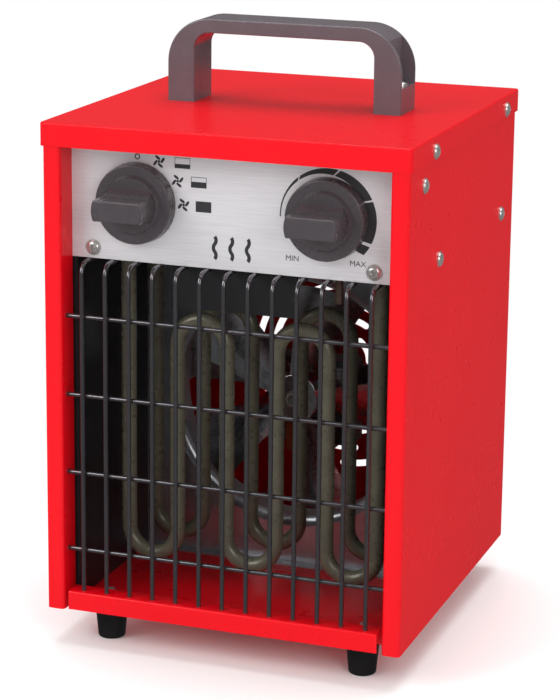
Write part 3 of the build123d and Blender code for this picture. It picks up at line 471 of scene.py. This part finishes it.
def settle(
    piece: bpy.types.Object, name: str, finish: Finish, body: str,
    angle: float = 35.0,
) -> bpy.types.Object:
    """Name, shade and finish a new piece and let it ride on a body.

    Args:
        piece: The modelled object.
        name: Its name.
        finish: Its finish.
        body: The CAD body that it moves with.
        angle: Edges sharper than this many degrees stay sharp.

    Returns:
        The same object.
    """
    start_piece()
    piece.select_set(True)
    bpy.context.view_layer.objects.active = piece
    bpy.ops.object.transform_apply(location=True, rotation=True, scale=True)
    bpy.ops.object.shade_smooth_by_angle(angle=math.radians(angle))
    piece.name = piece.data.name = name
    piece.data.materials.clear()
    piece.data.materials.append(finish.material())
    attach(piece, body)
    log.info("%s: %d faces", name, len(piece.data.polygons))
    return piece


@dataclass
class ScrewSet:
    """Cross-recess screws that stand for one CAD node of screws."""

    node: str
    facings: tuple[Facing, ...]
    collar: float = 5.0 * MM
    collar_height: float = 0.7 * MM
    head: float = 4.3 * MM
    head_height: float = 2.4 * MM
    shank: float = 2.0 * MM
    dome_steps: int = 5
    recess_width: float = 1.1 * MM
    recess_span: float = 4.8 * MM
    recess_depth: float = 1.7 * MM
    recess_taper: float = 0.6
    crown_flat: float = 0.35
    rim_sides: int = 40
    head_room: float = 12 * MM
    first_turn: float = 0.5
    turn_step: float = 1.1

    def heads(self) -> list[tuple[Vector, Vector]]:
        """Boxes of the separate screws in the CAD node.

        Returns:
            Lowest and highest corner of each.
        """
        reach = self.reach()
        boxes: list[list[Vector]] = []
        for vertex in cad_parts[self.node].data.vertices:
            place = vertex.co
            for box in boxes:
                if (place - box[2]).length < reach:
                    box[0] = Vector(map(min, box[0], place))
                    box[1] = Vector(map(max, box[1], place))
                    break
            else:
                boxes.append([place.copy(), place.copy(), place.copy()])
        return [(low, high) for low, high, _ in boxes]

    def reach(self) -> float:
        """Find how far apart points of one screw may lie.

        Returns:
            The distance in metres.
        """
        low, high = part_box(self.node)
        along = abs(Vector(self.facings[0].value).dot(high - low))
        return self.head_room + (along if len(self.facings) == 1 else self.head_room)

    def model(self, length: float) -> bpy.types.Object:
        """One screw with its seat at the origin and its head along +Z.

        Args:
            length: Shank length in metres.

        Returns:
            The screw.
        """
        start_piece()
        base = self.collar if self.collar > self.head else self.head
        step = self.collar_height
        bpy.ops.mesh.primitive_cylinder_add(
            vertices=self.rim_sides, radius=base, depth=step, location=(0, 0, step / 2)
        )
        screw = bpy.context.object
        bpy.ops.object.transform_apply(location=True)
        pick_faces(screw, looks_up)
        if base > self.head:
            bpy.ops.mesh.inset(thickness=base - self.head)
        crown = self.head_height - step
        for i in range(self.dome_steps):
            low, high = (k / self.dome_steps * QUARTER_TURN for k in (i, i + 1))
            push_out((0, 0, crown * (math.sin(high) - math.sin(low))))
            wide, narrow = (
                self.crown_flat + (1 - self.crown_flat) * math.cos(k) for k in (low, high)
            )
            shrink = narrow / wide
            bpy.ops.transform.resize(value=(shrink, shrink, 1))
        pick_faces(screw, looks_down)
        bpy.ops.mesh.inset(thickness=base - self.shank)
        push_out((0, 0, -length))
        bpy.ops.object.mode_set(mode="OBJECT")
        self.cut_recess(screw)
        return screw

    def cut_recess(self, screw: bpy.types.Object) -> None:
        """Sink a tapered cross into the head.

        Args:
            screw: The screw, its seat at the origin.
        """
        bars = []
        for turn in (0, QUARTER_TURN):
            start_piece()
            bpy.ops.mesh.primitive_cube_add(
                size=1, location=(0, 0, self.head_height), rotation=(0, 0, turn),
                scale=(self.recess_span, self.recess_width, 2 * self.recess_depth),
            )
            bar = bpy.context.object
            bpy.ops.object.transform_apply(location=True, rotation=True, scale=True)
            pick_faces(bar, looks_down)
            bpy.ops.transform.resize(value=(self.recess_taper, self.recess_taper, 1))
            bpy.ops.object.mode_set(mode="OBJECT")
            bars.append(bar)
        for bar in bars:
            start_piece()
            screw.select_set(True)
            bpy.context.view_layer.objects.active = screw
            cut = screw.modifiers.new("recess", "BOOLEAN")
            cut.object, cut.operation, cut.solver = bar, "DIFFERENCE", "EXACT"
            bpy.ops.object.modifier_apply(modifier=cut.name)
            bpy.data.objects.remove(bar)

    def build(self) -> bpy.types.Object:
        """Model the screw once and copy it to every place.

        Returns:
            All the node's screws as one piece.
        """
        boxes = self.heads()
        first = Vector(self.facings[0].value)
        length = abs(first.dot(boxes[0][1] - boxes[0][0])) - self.head_height
        template = self.model(length)
        copies = []
        for i, (low, high) in enumerate(boxes):
            centre = (low + high) / 2
            facing = self.facing_at(centre)
            way = Vector(facing.value)
            half = abs(way.dot(high - low)) / 2
            seat = centre + way * (half - self.head_height)
            spin = Matrix.Rotation(self.first_turn + self.turn_step * i, 4, "Z")
            copy = template.copy()
            copy.data = template.data.copy()
            copy.data.transform(Matrix.Translation(seat) @ facing.turn() @ spin)
            bpy.context.collection.objects.link(copy)
            copies.append(copy)
        bpy.data.objects.remove(template)
        piece = join_all(copies)
        settle(piece, self.node + "_detail", SCREW_ZINC, CASING_BODY)
        dress((self.node,), SCREW_ZINC)
        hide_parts(self.node)
        return piece

    def facing_at(self, centre: Vector) -> Facing:
        """The way the head points at a place: outwards, of the ways the set has.

        Args:
            centre: The screw's middle.

        Returns:
            Its facing.
        """
        return max(self.facings, key=lambda facing: Vector(facing.value).dot(centre))


@dataclass
class Casing:
    """Red painted sheets and the screws that hold them."""

    sheets: tuple[str, ...] = (
        "side_panel_left", "side_panel_right", "top_cover", "base_tray", "back_panel",
    )
    screws: tuple[ScrewSet, ...] = (
        ScrewSet("side_screws", (Facing.LEFT, Facing.RIGHT)),
        ScrewSet("cap_screws", (Facing.LEFT, Facing.RIGHT)),
        ScrewSet("back_screws", (Facing.BACK,)),
    )

    def build(self) -> None:
        """Model the detailed screws."""
        for screws in self.screws:
            screws.build()

    def dress(self) -> None:
        """Paint the sheets."""
        dress(self.sheets, RED_PAINT)


@dataclass
class PanelPrint:
    """Dark marks printed on the control panel: settings, scale and heat sign."""

    thickness: float = 0.06 * MM
    arc_steps: int = 180
    scale_radius: float = 31.2 * MM
    scale_inner: float = 27.6 * MM
    scale_shift: float = 2.9 * MM
    scale_gaps: tuple[float, ...] = (-39.0, 10.0, 64.0, 119.0)
    scale_gap: float = 2.2
    scale_start: float = -92.0
    scale_end: float = 120.0
    scale_block: tuple[float, float] = (122.0, 134.0)
    zero_radius: float = 1.9 * MM
    zero_stroke: float = 0.7 * MM
    zero_place: tuple[float, float] = (0.0, 29.4)
    fan_radius: float = 4.6 * MM
    fan_hub: float = 1 / 5
    hub_sides: int = 16
    blade_count: int = 4
    blade_sides: int = 20
    blade_turn: float = 0.35
    blade_reach: float = 0.56
    blade_length: float = 1 / 2.2
    blade_skew: float = 0.6
    blade_width: float = 0.42
    fan_places: tuple[tuple[float, float], ...] = ((14.6, 27.2), (27.1, 15.7), (31.1, 0.9))
    block_places: tuple[tuple[float, float], ...] = ((30.3, 27.3), (41.2, 15.8), (44.4, 0.6))
    block_size: tuple[float, float] = (10.4, 6.8)
    block_fills: tuple[float, ...] = (0.35, 0.5, 1.0)
    block_line: float = 0.35 * MM
    letter_height: float = 3.5 * MM
    capital_share: float = 0.7
    words: tuple[tuple[str, float, float], ...] = (("MIN", -22.8, -26.9), ("MAX", 19.6, -26.8))
    wave_places: tuple[float, ...] = (-11.0, 0.0, 11.0)
    wave_drop: float = -24.6
    wave_radius: float = 3.7 * MM
    wave_stroke: float = 2.3 * MM
    wave_swing: float = 80.0
    wave_bends: tuple[int, ...] = (1, -1, 1)
    wave_steps: int = 10
    merge_distance: float = 0.001 * MM
    marks: list[bpy.types.Object] = field(default_factory=list)

    def sheet(self, piece: bpy.types.Object, across: float, up: float) -> None:
        """Thicken a flat mark, stand it up and put it on the panel.

        Args:
            piece: A flat mark drawn in local X and Y.
            across: Place along X in metres.
            up: Place along Z in metres.
        """
        start_piece()
        piece.select_set(True)
        bpy.context.view_layer.objects.active = piece
        bpy.ops.object.transform_apply(location=True, rotation=True, scale=True)
        bpy.ops.object.mode_set(mode="EDIT")
        bpy.ops.mesh.select_all(action="SELECT")
        bpy.ops.mesh.remove_doubles(threshold=self.merge_distance)
        push_out((0, 0, self.thickness))
        bpy.ops.mesh.select_all(action="SELECT")
        bpy.ops.mesh.normals_make_consistent(inside=False)
        bpy.ops.object.mode_set(mode="OBJECT")
        face_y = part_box("control_panel")[0].y
        stand = Matrix.Translation((across, face_y, up)) @ Matrix.Rotation(QUARTER_TURN, 4, "X")
        piece.data.transform(stand)
        self.marks.append(piece)

    def ring(self, outer: float, inner: float, shift: float = 0.0) -> bpy.types.Object:
        """A flat ring, its hole off centre by a shift.

        Args:
            outer: Outer radius.
            inner: Hole radius.
            shift: How far the hole lies to the left.

        Returns:
            The ring.
        """
        start_piece()
        bpy.ops.mesh.primitive_circle_add(vertices=self.arc_steps, radius=outer)
        band = bpy.context.object
        bpy.ops.object.mode_set(mode="EDIT")
        bpy.ops.mesh.primitive_circle_add(
            vertices=self.arc_steps, radius=inner, location=(-shift, 0, 0)
        )
        bpy.ops.mesh.select_all(action="SELECT")
        bpy.ops.mesh.bridge_edge_loops()
        bpy.ops.object.mode_set(mode="OBJECT")
        return band

    def scale(self, across: float, up: float) -> None:
        """Print the thermostat's tapered scale round its knob.

        Args:
            across: Place along X in metres.
            up: Place along Z in metres.
        """
        band = self.ring(self.scale_radius, self.scale_inner, self.scale_shift)

        def bare(face: bpy.types.MeshPolygon) -> bool:
            """Tell where the scale has no ink.

            Args:
                face: A face of the band.

            Returns:
                True where it is bare.
            """
            turn = math.degrees(math.atan2(face.center.x, face.center.y))
            printed = self.scale_start < turn < self.scale_end
            block = self.scale_block[0] < turn < self.scale_block[1]
            gap = any(abs(turn - at) < self.scale_gap / 2 for at in self.scale_gaps)
            return gap or not (printed or block)

        pick_faces(band, bare)
        bpy.ops.mesh.delete(type="FACE")
        self.sheet(band, across, up)

    def zero(self, across: float, up: float) -> None:
        """Print the ring that marks off.

        Args:
            across: Place along X in metres.
            up: Place along Z in metres.
        """
        self.sheet(self.ring(self.zero_radius, self.zero_radius - self.zero_stroke), across, up)

    def fan_sign(self, across: float, up: float) -> None:
        """Print a small fan with four skewed blades.

        Args:
            across: Place along X in metres.
            up: Place along Z in metres.
        """
        start_piece()
        bpy.ops.mesh.primitive_circle_add(
            vertices=self.hub_sides, radius=self.fan_radius * self.fan_hub, fill_type="NGON"
        )
        blades = [bpy.context.object]
        reach = self.blade_reach * self.fan_radius
        for i in range(self.blade_count):
            turn = i * math.tau / self.blade_count + self.blade_turn
            start_piece()
            bpy.ops.mesh.primitive_circle_add(
                vertices=self.blade_sides, radius=self.fan_radius * self.blade_length,
                fill_type="NGON", location=(reach * math.cos(turn), reach * math.sin(turn), 0),
                rotation=(0, 0, turn + self.blade_skew),
            )
            bpy.context.object.scale = (1.0, self.blade_width, 1.0)
            blades.append(bpy.context.object)
        for blade in blades:
            start_piece()
            blade.select_set(True)
            bpy.context.view_layer.objects.active = blade
            bpy.ops.object.transform_apply(location=True, rotation=True, scale=True)
            self.sheet(blade, across, up)

    def heat_block(self, across: float, up: float, fill: float) -> None:
        """A framed block, inked from below by a share of its height.

        Args:
            across: Place along X in metres.
            up: Place along Z in metres.
            fill: Share of the height that is inked.
        """
        wide, high = (size * MM for size in self.block_size)
        start_piece()
        bpy.ops.mesh.primitive_plane_add(size=1)
        block = bpy.context.object
        block.scale = (wide, high, 1)
        bpy.ops.object.transform_apply(scale=True)
        if fill < 1:
            bpy.ops.object.mode_set(mode="EDIT")
            bpy.ops.mesh.select_all(action="SELECT")
            level = -high / 2 + fill * high
            bpy.ops.mesh.bisect(plane_co=(0, level, 0), plane_no=(0, 1, 0))
            pick_faces(block, lambda face: face.center.y > level)
            bpy.ops.mesh.inset(thickness=self.block_line)
            bpy.ops.mesh.delete(type="FACE")
        bpy.ops.object.mode_set(mode="OBJECT")
        self.sheet(block, across, up)

    def word(self, text: str, across: float, up: float) -> None:
        """Print a word, centred on its place.

        Args:
            text: The word.
            across: Place along X in metres.
            up: Place along Z in metres.
        """
        start_piece()
        bpy.ops.object.text_add()
        letters = bpy.context.object
        letters.data.body = text
        letters.data.align_x = "CENTER"
        letters.data.align_y = "CENTER"
        letters.data.size = self.letter_height / self.capital_share
        bpy.ops.object.convert(target="MESH")
        self.sheet(bpy.context.object, across, up)

    def wave(self, across: float, up: float) -> None:
        """Print one rising line of warm air, spun in three bends.

        Args:
            across: Place along X in metres.
            up: Place along Z in metres.
        """
        swing = math.radians(self.wave_swing)
        heading = math.pi / 2 - swing / 2
        radius, half = self.wave_radius, self.wave_stroke / 2
        chord = 2 * radius * math.sin(swing / 2)
        point = Vector((0, -len(self.wave_bends) / 2 * chord, 0))
        aim = Vector((math.cos(heading), math.sin(heading), 0))
        start_piece()
        bpy.ops.mesh.primitive_plane_add(
            size=self.wave_stroke, location=point + aim * half, rotation=(0, 0, heading)
        )
        line = bpy.context.object
        bpy.ops.object.transform_apply(location=True, rotation=True)
        pick_faces(line, lambda face: False)
        bpy.ops.object.mode_set(mode="OBJECT")
        bpy.context.tool_settings.mesh_select_mode = (True, False, False)
        for corner in line.data.vertices:
            corner.select = (corner.co - point).dot(aim) > half
        bpy.ops.object.mode_set(mode="EDIT")
        bpy.ops.mesh.delete(type="VERT")
        bpy.ops.mesh.select_all(action="SELECT")
        for turn in self.wave_bends:
            aim = Vector((math.cos(heading), math.sin(heading), 0))
            normal = Vector((-aim.y, aim.x, 0))
            centre = point + normal * radius * turn
            bpy.ops.mesh.spin(
                steps=self.wave_steps, angle=-swing * turn, center=centre, axis=(0, 0, 1)
            )
            point = centre + Matrix.Rotation(swing * turn, 3, "Z") @ (point - centre)
            heading += swing * turn
        bpy.ops.object.mode_set(mode="OBJECT")
        self.sheet(line, across, up)

    def build(self) -> bpy.types.Object:
        """Print everything and join it.

        Returns:
            The printing as one piece.
        """
        left, right = (
            sum(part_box(node), Vector()) / 2 for node in ("mode_knob", "thermostat_knob")
        )
        for i, (fan, block) in enumerate(zip(self.fan_places, self.block_places)):
            self.fan_sign(left.x + fan[0] * MM, left.z + fan[1] * MM)
            self.heat_block(left.x + block[0] * MM, left.z + block[1] * MM, self.block_fills[i])
        self.zero(left.x + self.zero_place[0] * MM, left.z + self.zero_place[1] * MM)
        self.scale(right.x, right.z)
        for text, across, up in self.words:
            self.word(text, right.x + across * MM, right.z + up * MM)
        middle = (left.x + right.x) / 2
        for across in self.wave_places:
            self.wave(middle + across * MM, left.z + self.wave_drop * MM)
        return settle(join_all(self.marks), "panel_print", INK, CASING_BODY)


@dataclass
class ControlPanel:
    """Brushed panel with its printing, screws and the controls behind it."""

    printing: PanelPrint = field(default_factory=PanelPrint)
    screws: ScrewSet = field(default_factory=lambda: ScrewSet("panel_screws", (Facing.FRONT,)))

    def build(self) -> None:
        """Print the panel and model its screws."""
        self.printing.build()
        self.screws.build()

    def dress(self) -> None:
        """Finish the panel, its controls and the parts behind it."""
        dress(("control_panel",), BRUSHED_PANEL)
        dress(("mode_knob", "thermostat_knob", "cable_gland", "gland_nut"), KNOB_PLASTIC)
        dress(("mode_shaft", "thermostat_shaft"), SHAFT_STEEL)
        dress(("mode_switch", "thermostat", "terminal_block"), CONTROL_PLASTIC)
        dress(("thermal_cutout",), CERAMIC)
        dress(("thermostat_bulb",), BULB_COPPER)


@dataclass
class HeatingChamber:
    """Guard, elements and the sheets that guide the air."""

    bright_sheets: tuple[str, ...] = ("fan_shroud", "partition")
    # The duct liners carry painted shade: their zinc sheet is coloured near-black for the
    # chamber's shade.
    shade_painted_liners: tuple[str, ...] = ("duct_liner_left", "duct_liner_right")

    def dress(self) -> None:
        """Finish everything in and round the chamber."""
        dress(("front_guard",), GUARD_WIRE)
        dress(("heating_element_front", "heating_element_back"), ELEMENT_SHEATH)
        dress(self.bright_sheets, ZINC_SHEET)
        # Painted shade: the duct liners get the near-black finish instead of bright zinc.
        dress(self.shade_painted_liners, SHADE_PAINTED_LINER)
        dress(("shield_plate",), DARK_PLATE)
        dress(("element_nuts",), BRASS)
        dress(("terminal_insulators",), CERAMIC)
        dress(("terminal_studs",), SCREW_ZINC)


@dataclass
class FanUnit:
    """Fan, motor and the strap that carries them."""

    plates: tuple[str, ...] = ("motor_bracket_front", "motor_bracket_back", "motor_strap")
    hardware: tuple[str, ...] = ("fan_nut", "motor_screws", "motor_nuts", "motor_spacers")

    def dress(self) -> None:
        """Finish the fan and the motor."""
        dress(("fan",), FAN_METAL)
        dress(("motor_core", "motor_rotor"), CORE_STEEL)
        dress(("motor_coil",), COIL_COPPER)
        dress(("motor_shaft",), SHAFT_STEEL)
        dress(self.plates, ZINC_SHEET)
        dress(self.hardware, SCREW_ZINC)


@dataclass
class CarryingHandle:
    """Moulded handle and its screws."""

    screws: ScrewSet = field(
        default_factory=lambda: ScrewSet(
            "handle_screws", (Facing.UP,), collar=0.0, head=3.8 * MM, recess_span=3.8 * MM
        )
    )

    def build(self) -> None:
        """Model the screws in the wells."""
        self.screws.build()

    def dress(self) -> None:
        """Finish the moulding and its nuts."""
        dress(("handle",), HANDLE_PLASTIC)
        dress(("handle_nuts",), SCREW_ZINC)


@dataclass
class Feet:
    """Four rubber feet and their screws."""

    names: tuple[str, ...] = (
        "foot_front_left", "foot_front_right", "foot_back_left", "foot_back_right",
    )
    screws: ScrewSet = field(
        default_factory=lambda: ScrewSet("foot_screws", (Facing.DOWN,), collar=0.0)
    )

    def build(self) -> None:
        """Model the screws up the feet."""
        self.screws.build()

    def dress(self) -> None:
        """Finish the rubber and the nuts."""
        dress(self.names, FOOT_RUBBER)
        dress(("foot_nuts",), SCREW_ZINC)


@dataclass(frozen=True)
class SoftLamp:
    """A rectangular studio lamp aimed at the heater."""

    name: str
    place: tuple[float, float, float]
    size: tuple[float, float]
    power: float
    aim: tuple[float, float, float] = (0.0, 0.0, 0.18)

    def build(self) -> None:
        """Hang the lamp."""
        start_piece()
        bpy.ops.object.light_add(type="AREA", location=self.place)
        lamp = bpy.context.object
        lamp.name = self.name
        lamp.data.shape = "RECTANGLE"
        lamp.data.size, lamp.data.size_y = self.size
        lamp.data.energy = self.power
        way = Vector(self.aim) - Vector(self.place)
        lamp.rotation_euler = way.to_track_quat("-Z", "Y").to_euler()


@dataclass
class Studio:
    """Pale floor, white surroundings, soft lamps and the camera."""

    floor_half: float = 4.0
    floor_colour: tuple[int, int, int] = (250, 250, 250)
    floor_roughness: float = 0.9
    floor_specular: float = 0.1
    fades: tuple[float, float] = (0.16, 0.32)
    world_level: float = 0.7
    mirrored_level: float = 0.12
    lamps: tuple[SoftLamp, ...] = (
        SoftLamp("lamp_front_left", (-1.5, -1.7, 1.5), (1.3, 1.3), 32.0),
        SoftLamp("lamp_front_right", (1.4, -1.6, 1.0), (0.8, 1.2), 14.0),
        SoftLamp("lamp_top", (0.1, 0.2, 1.9), (1.4, 1.4), 24.0),
    )
    camera_place: tuple[float, float, float] = (0.5236, -1.4785, 0.6022)
    camera_yaw: float = 19.702
    camera_pitch: float = 13.422
    camera_roll: float = 0.615
    camera_lens: float = 124.77
    camera_shift: float = -0.1
    camera_sensor: float = 36.0
    camera_clip: tuple[float, float] = (0.05, 50.0)

    def floor(self) -> None:
        """Lay the floor: shaded near the heater, plain white to the camera further out."""
        start_piece()
        bpy.ops.mesh.primitive_plane_add(size=2 * self.floor_half)
        plane = bpy.context.object
        plane.name = "floor"
        graph = NodeGraph("floor_surface")
        graph.surface.inputs["Base Color"].default_value = linear(self.floor_colour)
        graph.surface.inputs["Roughness"].default_value = self.floor_roughness
        graph.surface.inputs["Specular IOR Level"].default_value = self.floor_specular
        self.fade(graph)
        plane.data.materials.append(graph.material)

    def fade(self, graph: NodeGraph) -> None:
        """Let the shaded floor pass into plain white away from the heater, to the camera only.

        Args:
            graph: The floor's shader graph.
        """
        distance = graph.nodes.new("ShaderNodeVectorMath")
        distance.operation = "LENGTH"
        graph.join(graph.place(), distance.inputs[0])
        share = graph.nodes.new("ShaderNodeMapRange")
        share.interpolation_type = "SMOOTHSTEP"
        share.inputs["From Min"].default_value, share.inputs["From Max"].default_value = self.fades
        graph.join(distance.outputs["Value"], share.inputs["Value"])
        rays = graph.nodes.new("ShaderNodeLightPath")
        seen = graph.nodes.new("ShaderNodeMath")
        seen.operation = "MULTIPLY"
        graph.join(share.outputs["Result"], seen.inputs[0])
        graph.join(rays.outputs["Is Camera Ray"], seen.inputs[1])
        white = graph.nodes.new("ShaderNodeEmission")
        blend = graph.nodes.new("ShaderNodeMixShader")
        graph.join(seen.outputs["Value"], blend.inputs["Fac"])
        graph.join(graph.surface.outputs["BSDF"], blend.inputs[1])
        graph.join(white.outputs["Emission"], blend.inputs[2])
        dim = graph.nodes.new("ShaderNodeEmission")
        dim.inputs["Strength"].default_value = self.mirrored_level
        mirrored = graph.nodes.new("ShaderNodeMixShader")
        graph.join(rays.outputs["Is Glossy Ray"], mirrored.inputs["Fac"])
        graph.join(blend.outputs["Shader"], mirrored.inputs[1])
        graph.join(dim.outputs["Emission"], mirrored.inputs[2])
        graph.join(
            mirrored.outputs["Shader"], graph.nodes["Material Output"].inputs["Surface"]
        )

    def world(self) -> None:
        """Light from all round, seen as plain white by the camera."""
        world = bpy.data.worlds.new("surroundings")
        bpy.context.scene.world = world
        world.use_nodes = True
        nodes, links = world.node_tree.nodes, world.node_tree.links
        background = nodes["Background"]
        rays = nodes.new("ShaderNodeLightPath")
        level = self.world_level
        for ray, seen in (("Is Glossy Ray", self.mirrored_level), ("Is Camera Ray", 1.0)):
            choice = nodes.new("ShaderNodeMix")
            if isinstance(level, float):
                choice.inputs["A"].default_value = level
            else:
                links.new(level, choice.inputs["A"])
            choice.inputs["B"].default_value = seen
            links.new(rays.outputs[ray], choice.inputs["Factor"])
            level = choice.outputs["Result"]
        links.new(level, background.inputs["Strength"])
        background.inputs["Color"].default_value = (1, 1, 1, 1)

    def camera(self) -> None:
        """Set the camera at the photograph's angle, for an upright frame of five to four."""
        bpy.ops.object.camera_add()
        camera = bpy.context.object
        camera.data.sensor_width = self.camera_sensor
        camera.data.lens = self.camera_lens
        camera.data.shift_y = self.camera_shift
        camera.data.clip_start, camera.data.clip_end = self.camera_clip
        turn = Matrix.Rotation(math.radians(self.camera_yaw), 4, "Z")
        tilt = Matrix.Rotation(QUARTER_TURN - math.radians(self.camera_pitch), 4, "X")
        roll = Matrix.Rotation(math.radians(self.camera_roll), 4, "Z")
        camera.matrix_world = Matrix.Translation(self.camera_place) @ turn @ tilt @ roll
        bpy.context.scene.camera = camera

    def build(self) -> None:
        """Set up the whole studio."""
        self.floor()
        self.world()
        for lamp in self.lamps:
            lamp.build()
        self.camera()
        bpy.context.scene.view_settings.view_transform = "Standard"


def main() -> None:
    """Build and dress the heater, then the studio."""
    logging.basicConfig(level=logging.INFO, format="%(name)s %(message)s")
    for unit in (Casing(), ControlPanel(), CarryingHandle(), Feet()):
        unit.build()
        unit.dress()
    for unit in (HeatingChamber(), FanUnit()):
        unit.dress()
    Studio().build()


if __name__ == "__main__":
    main()
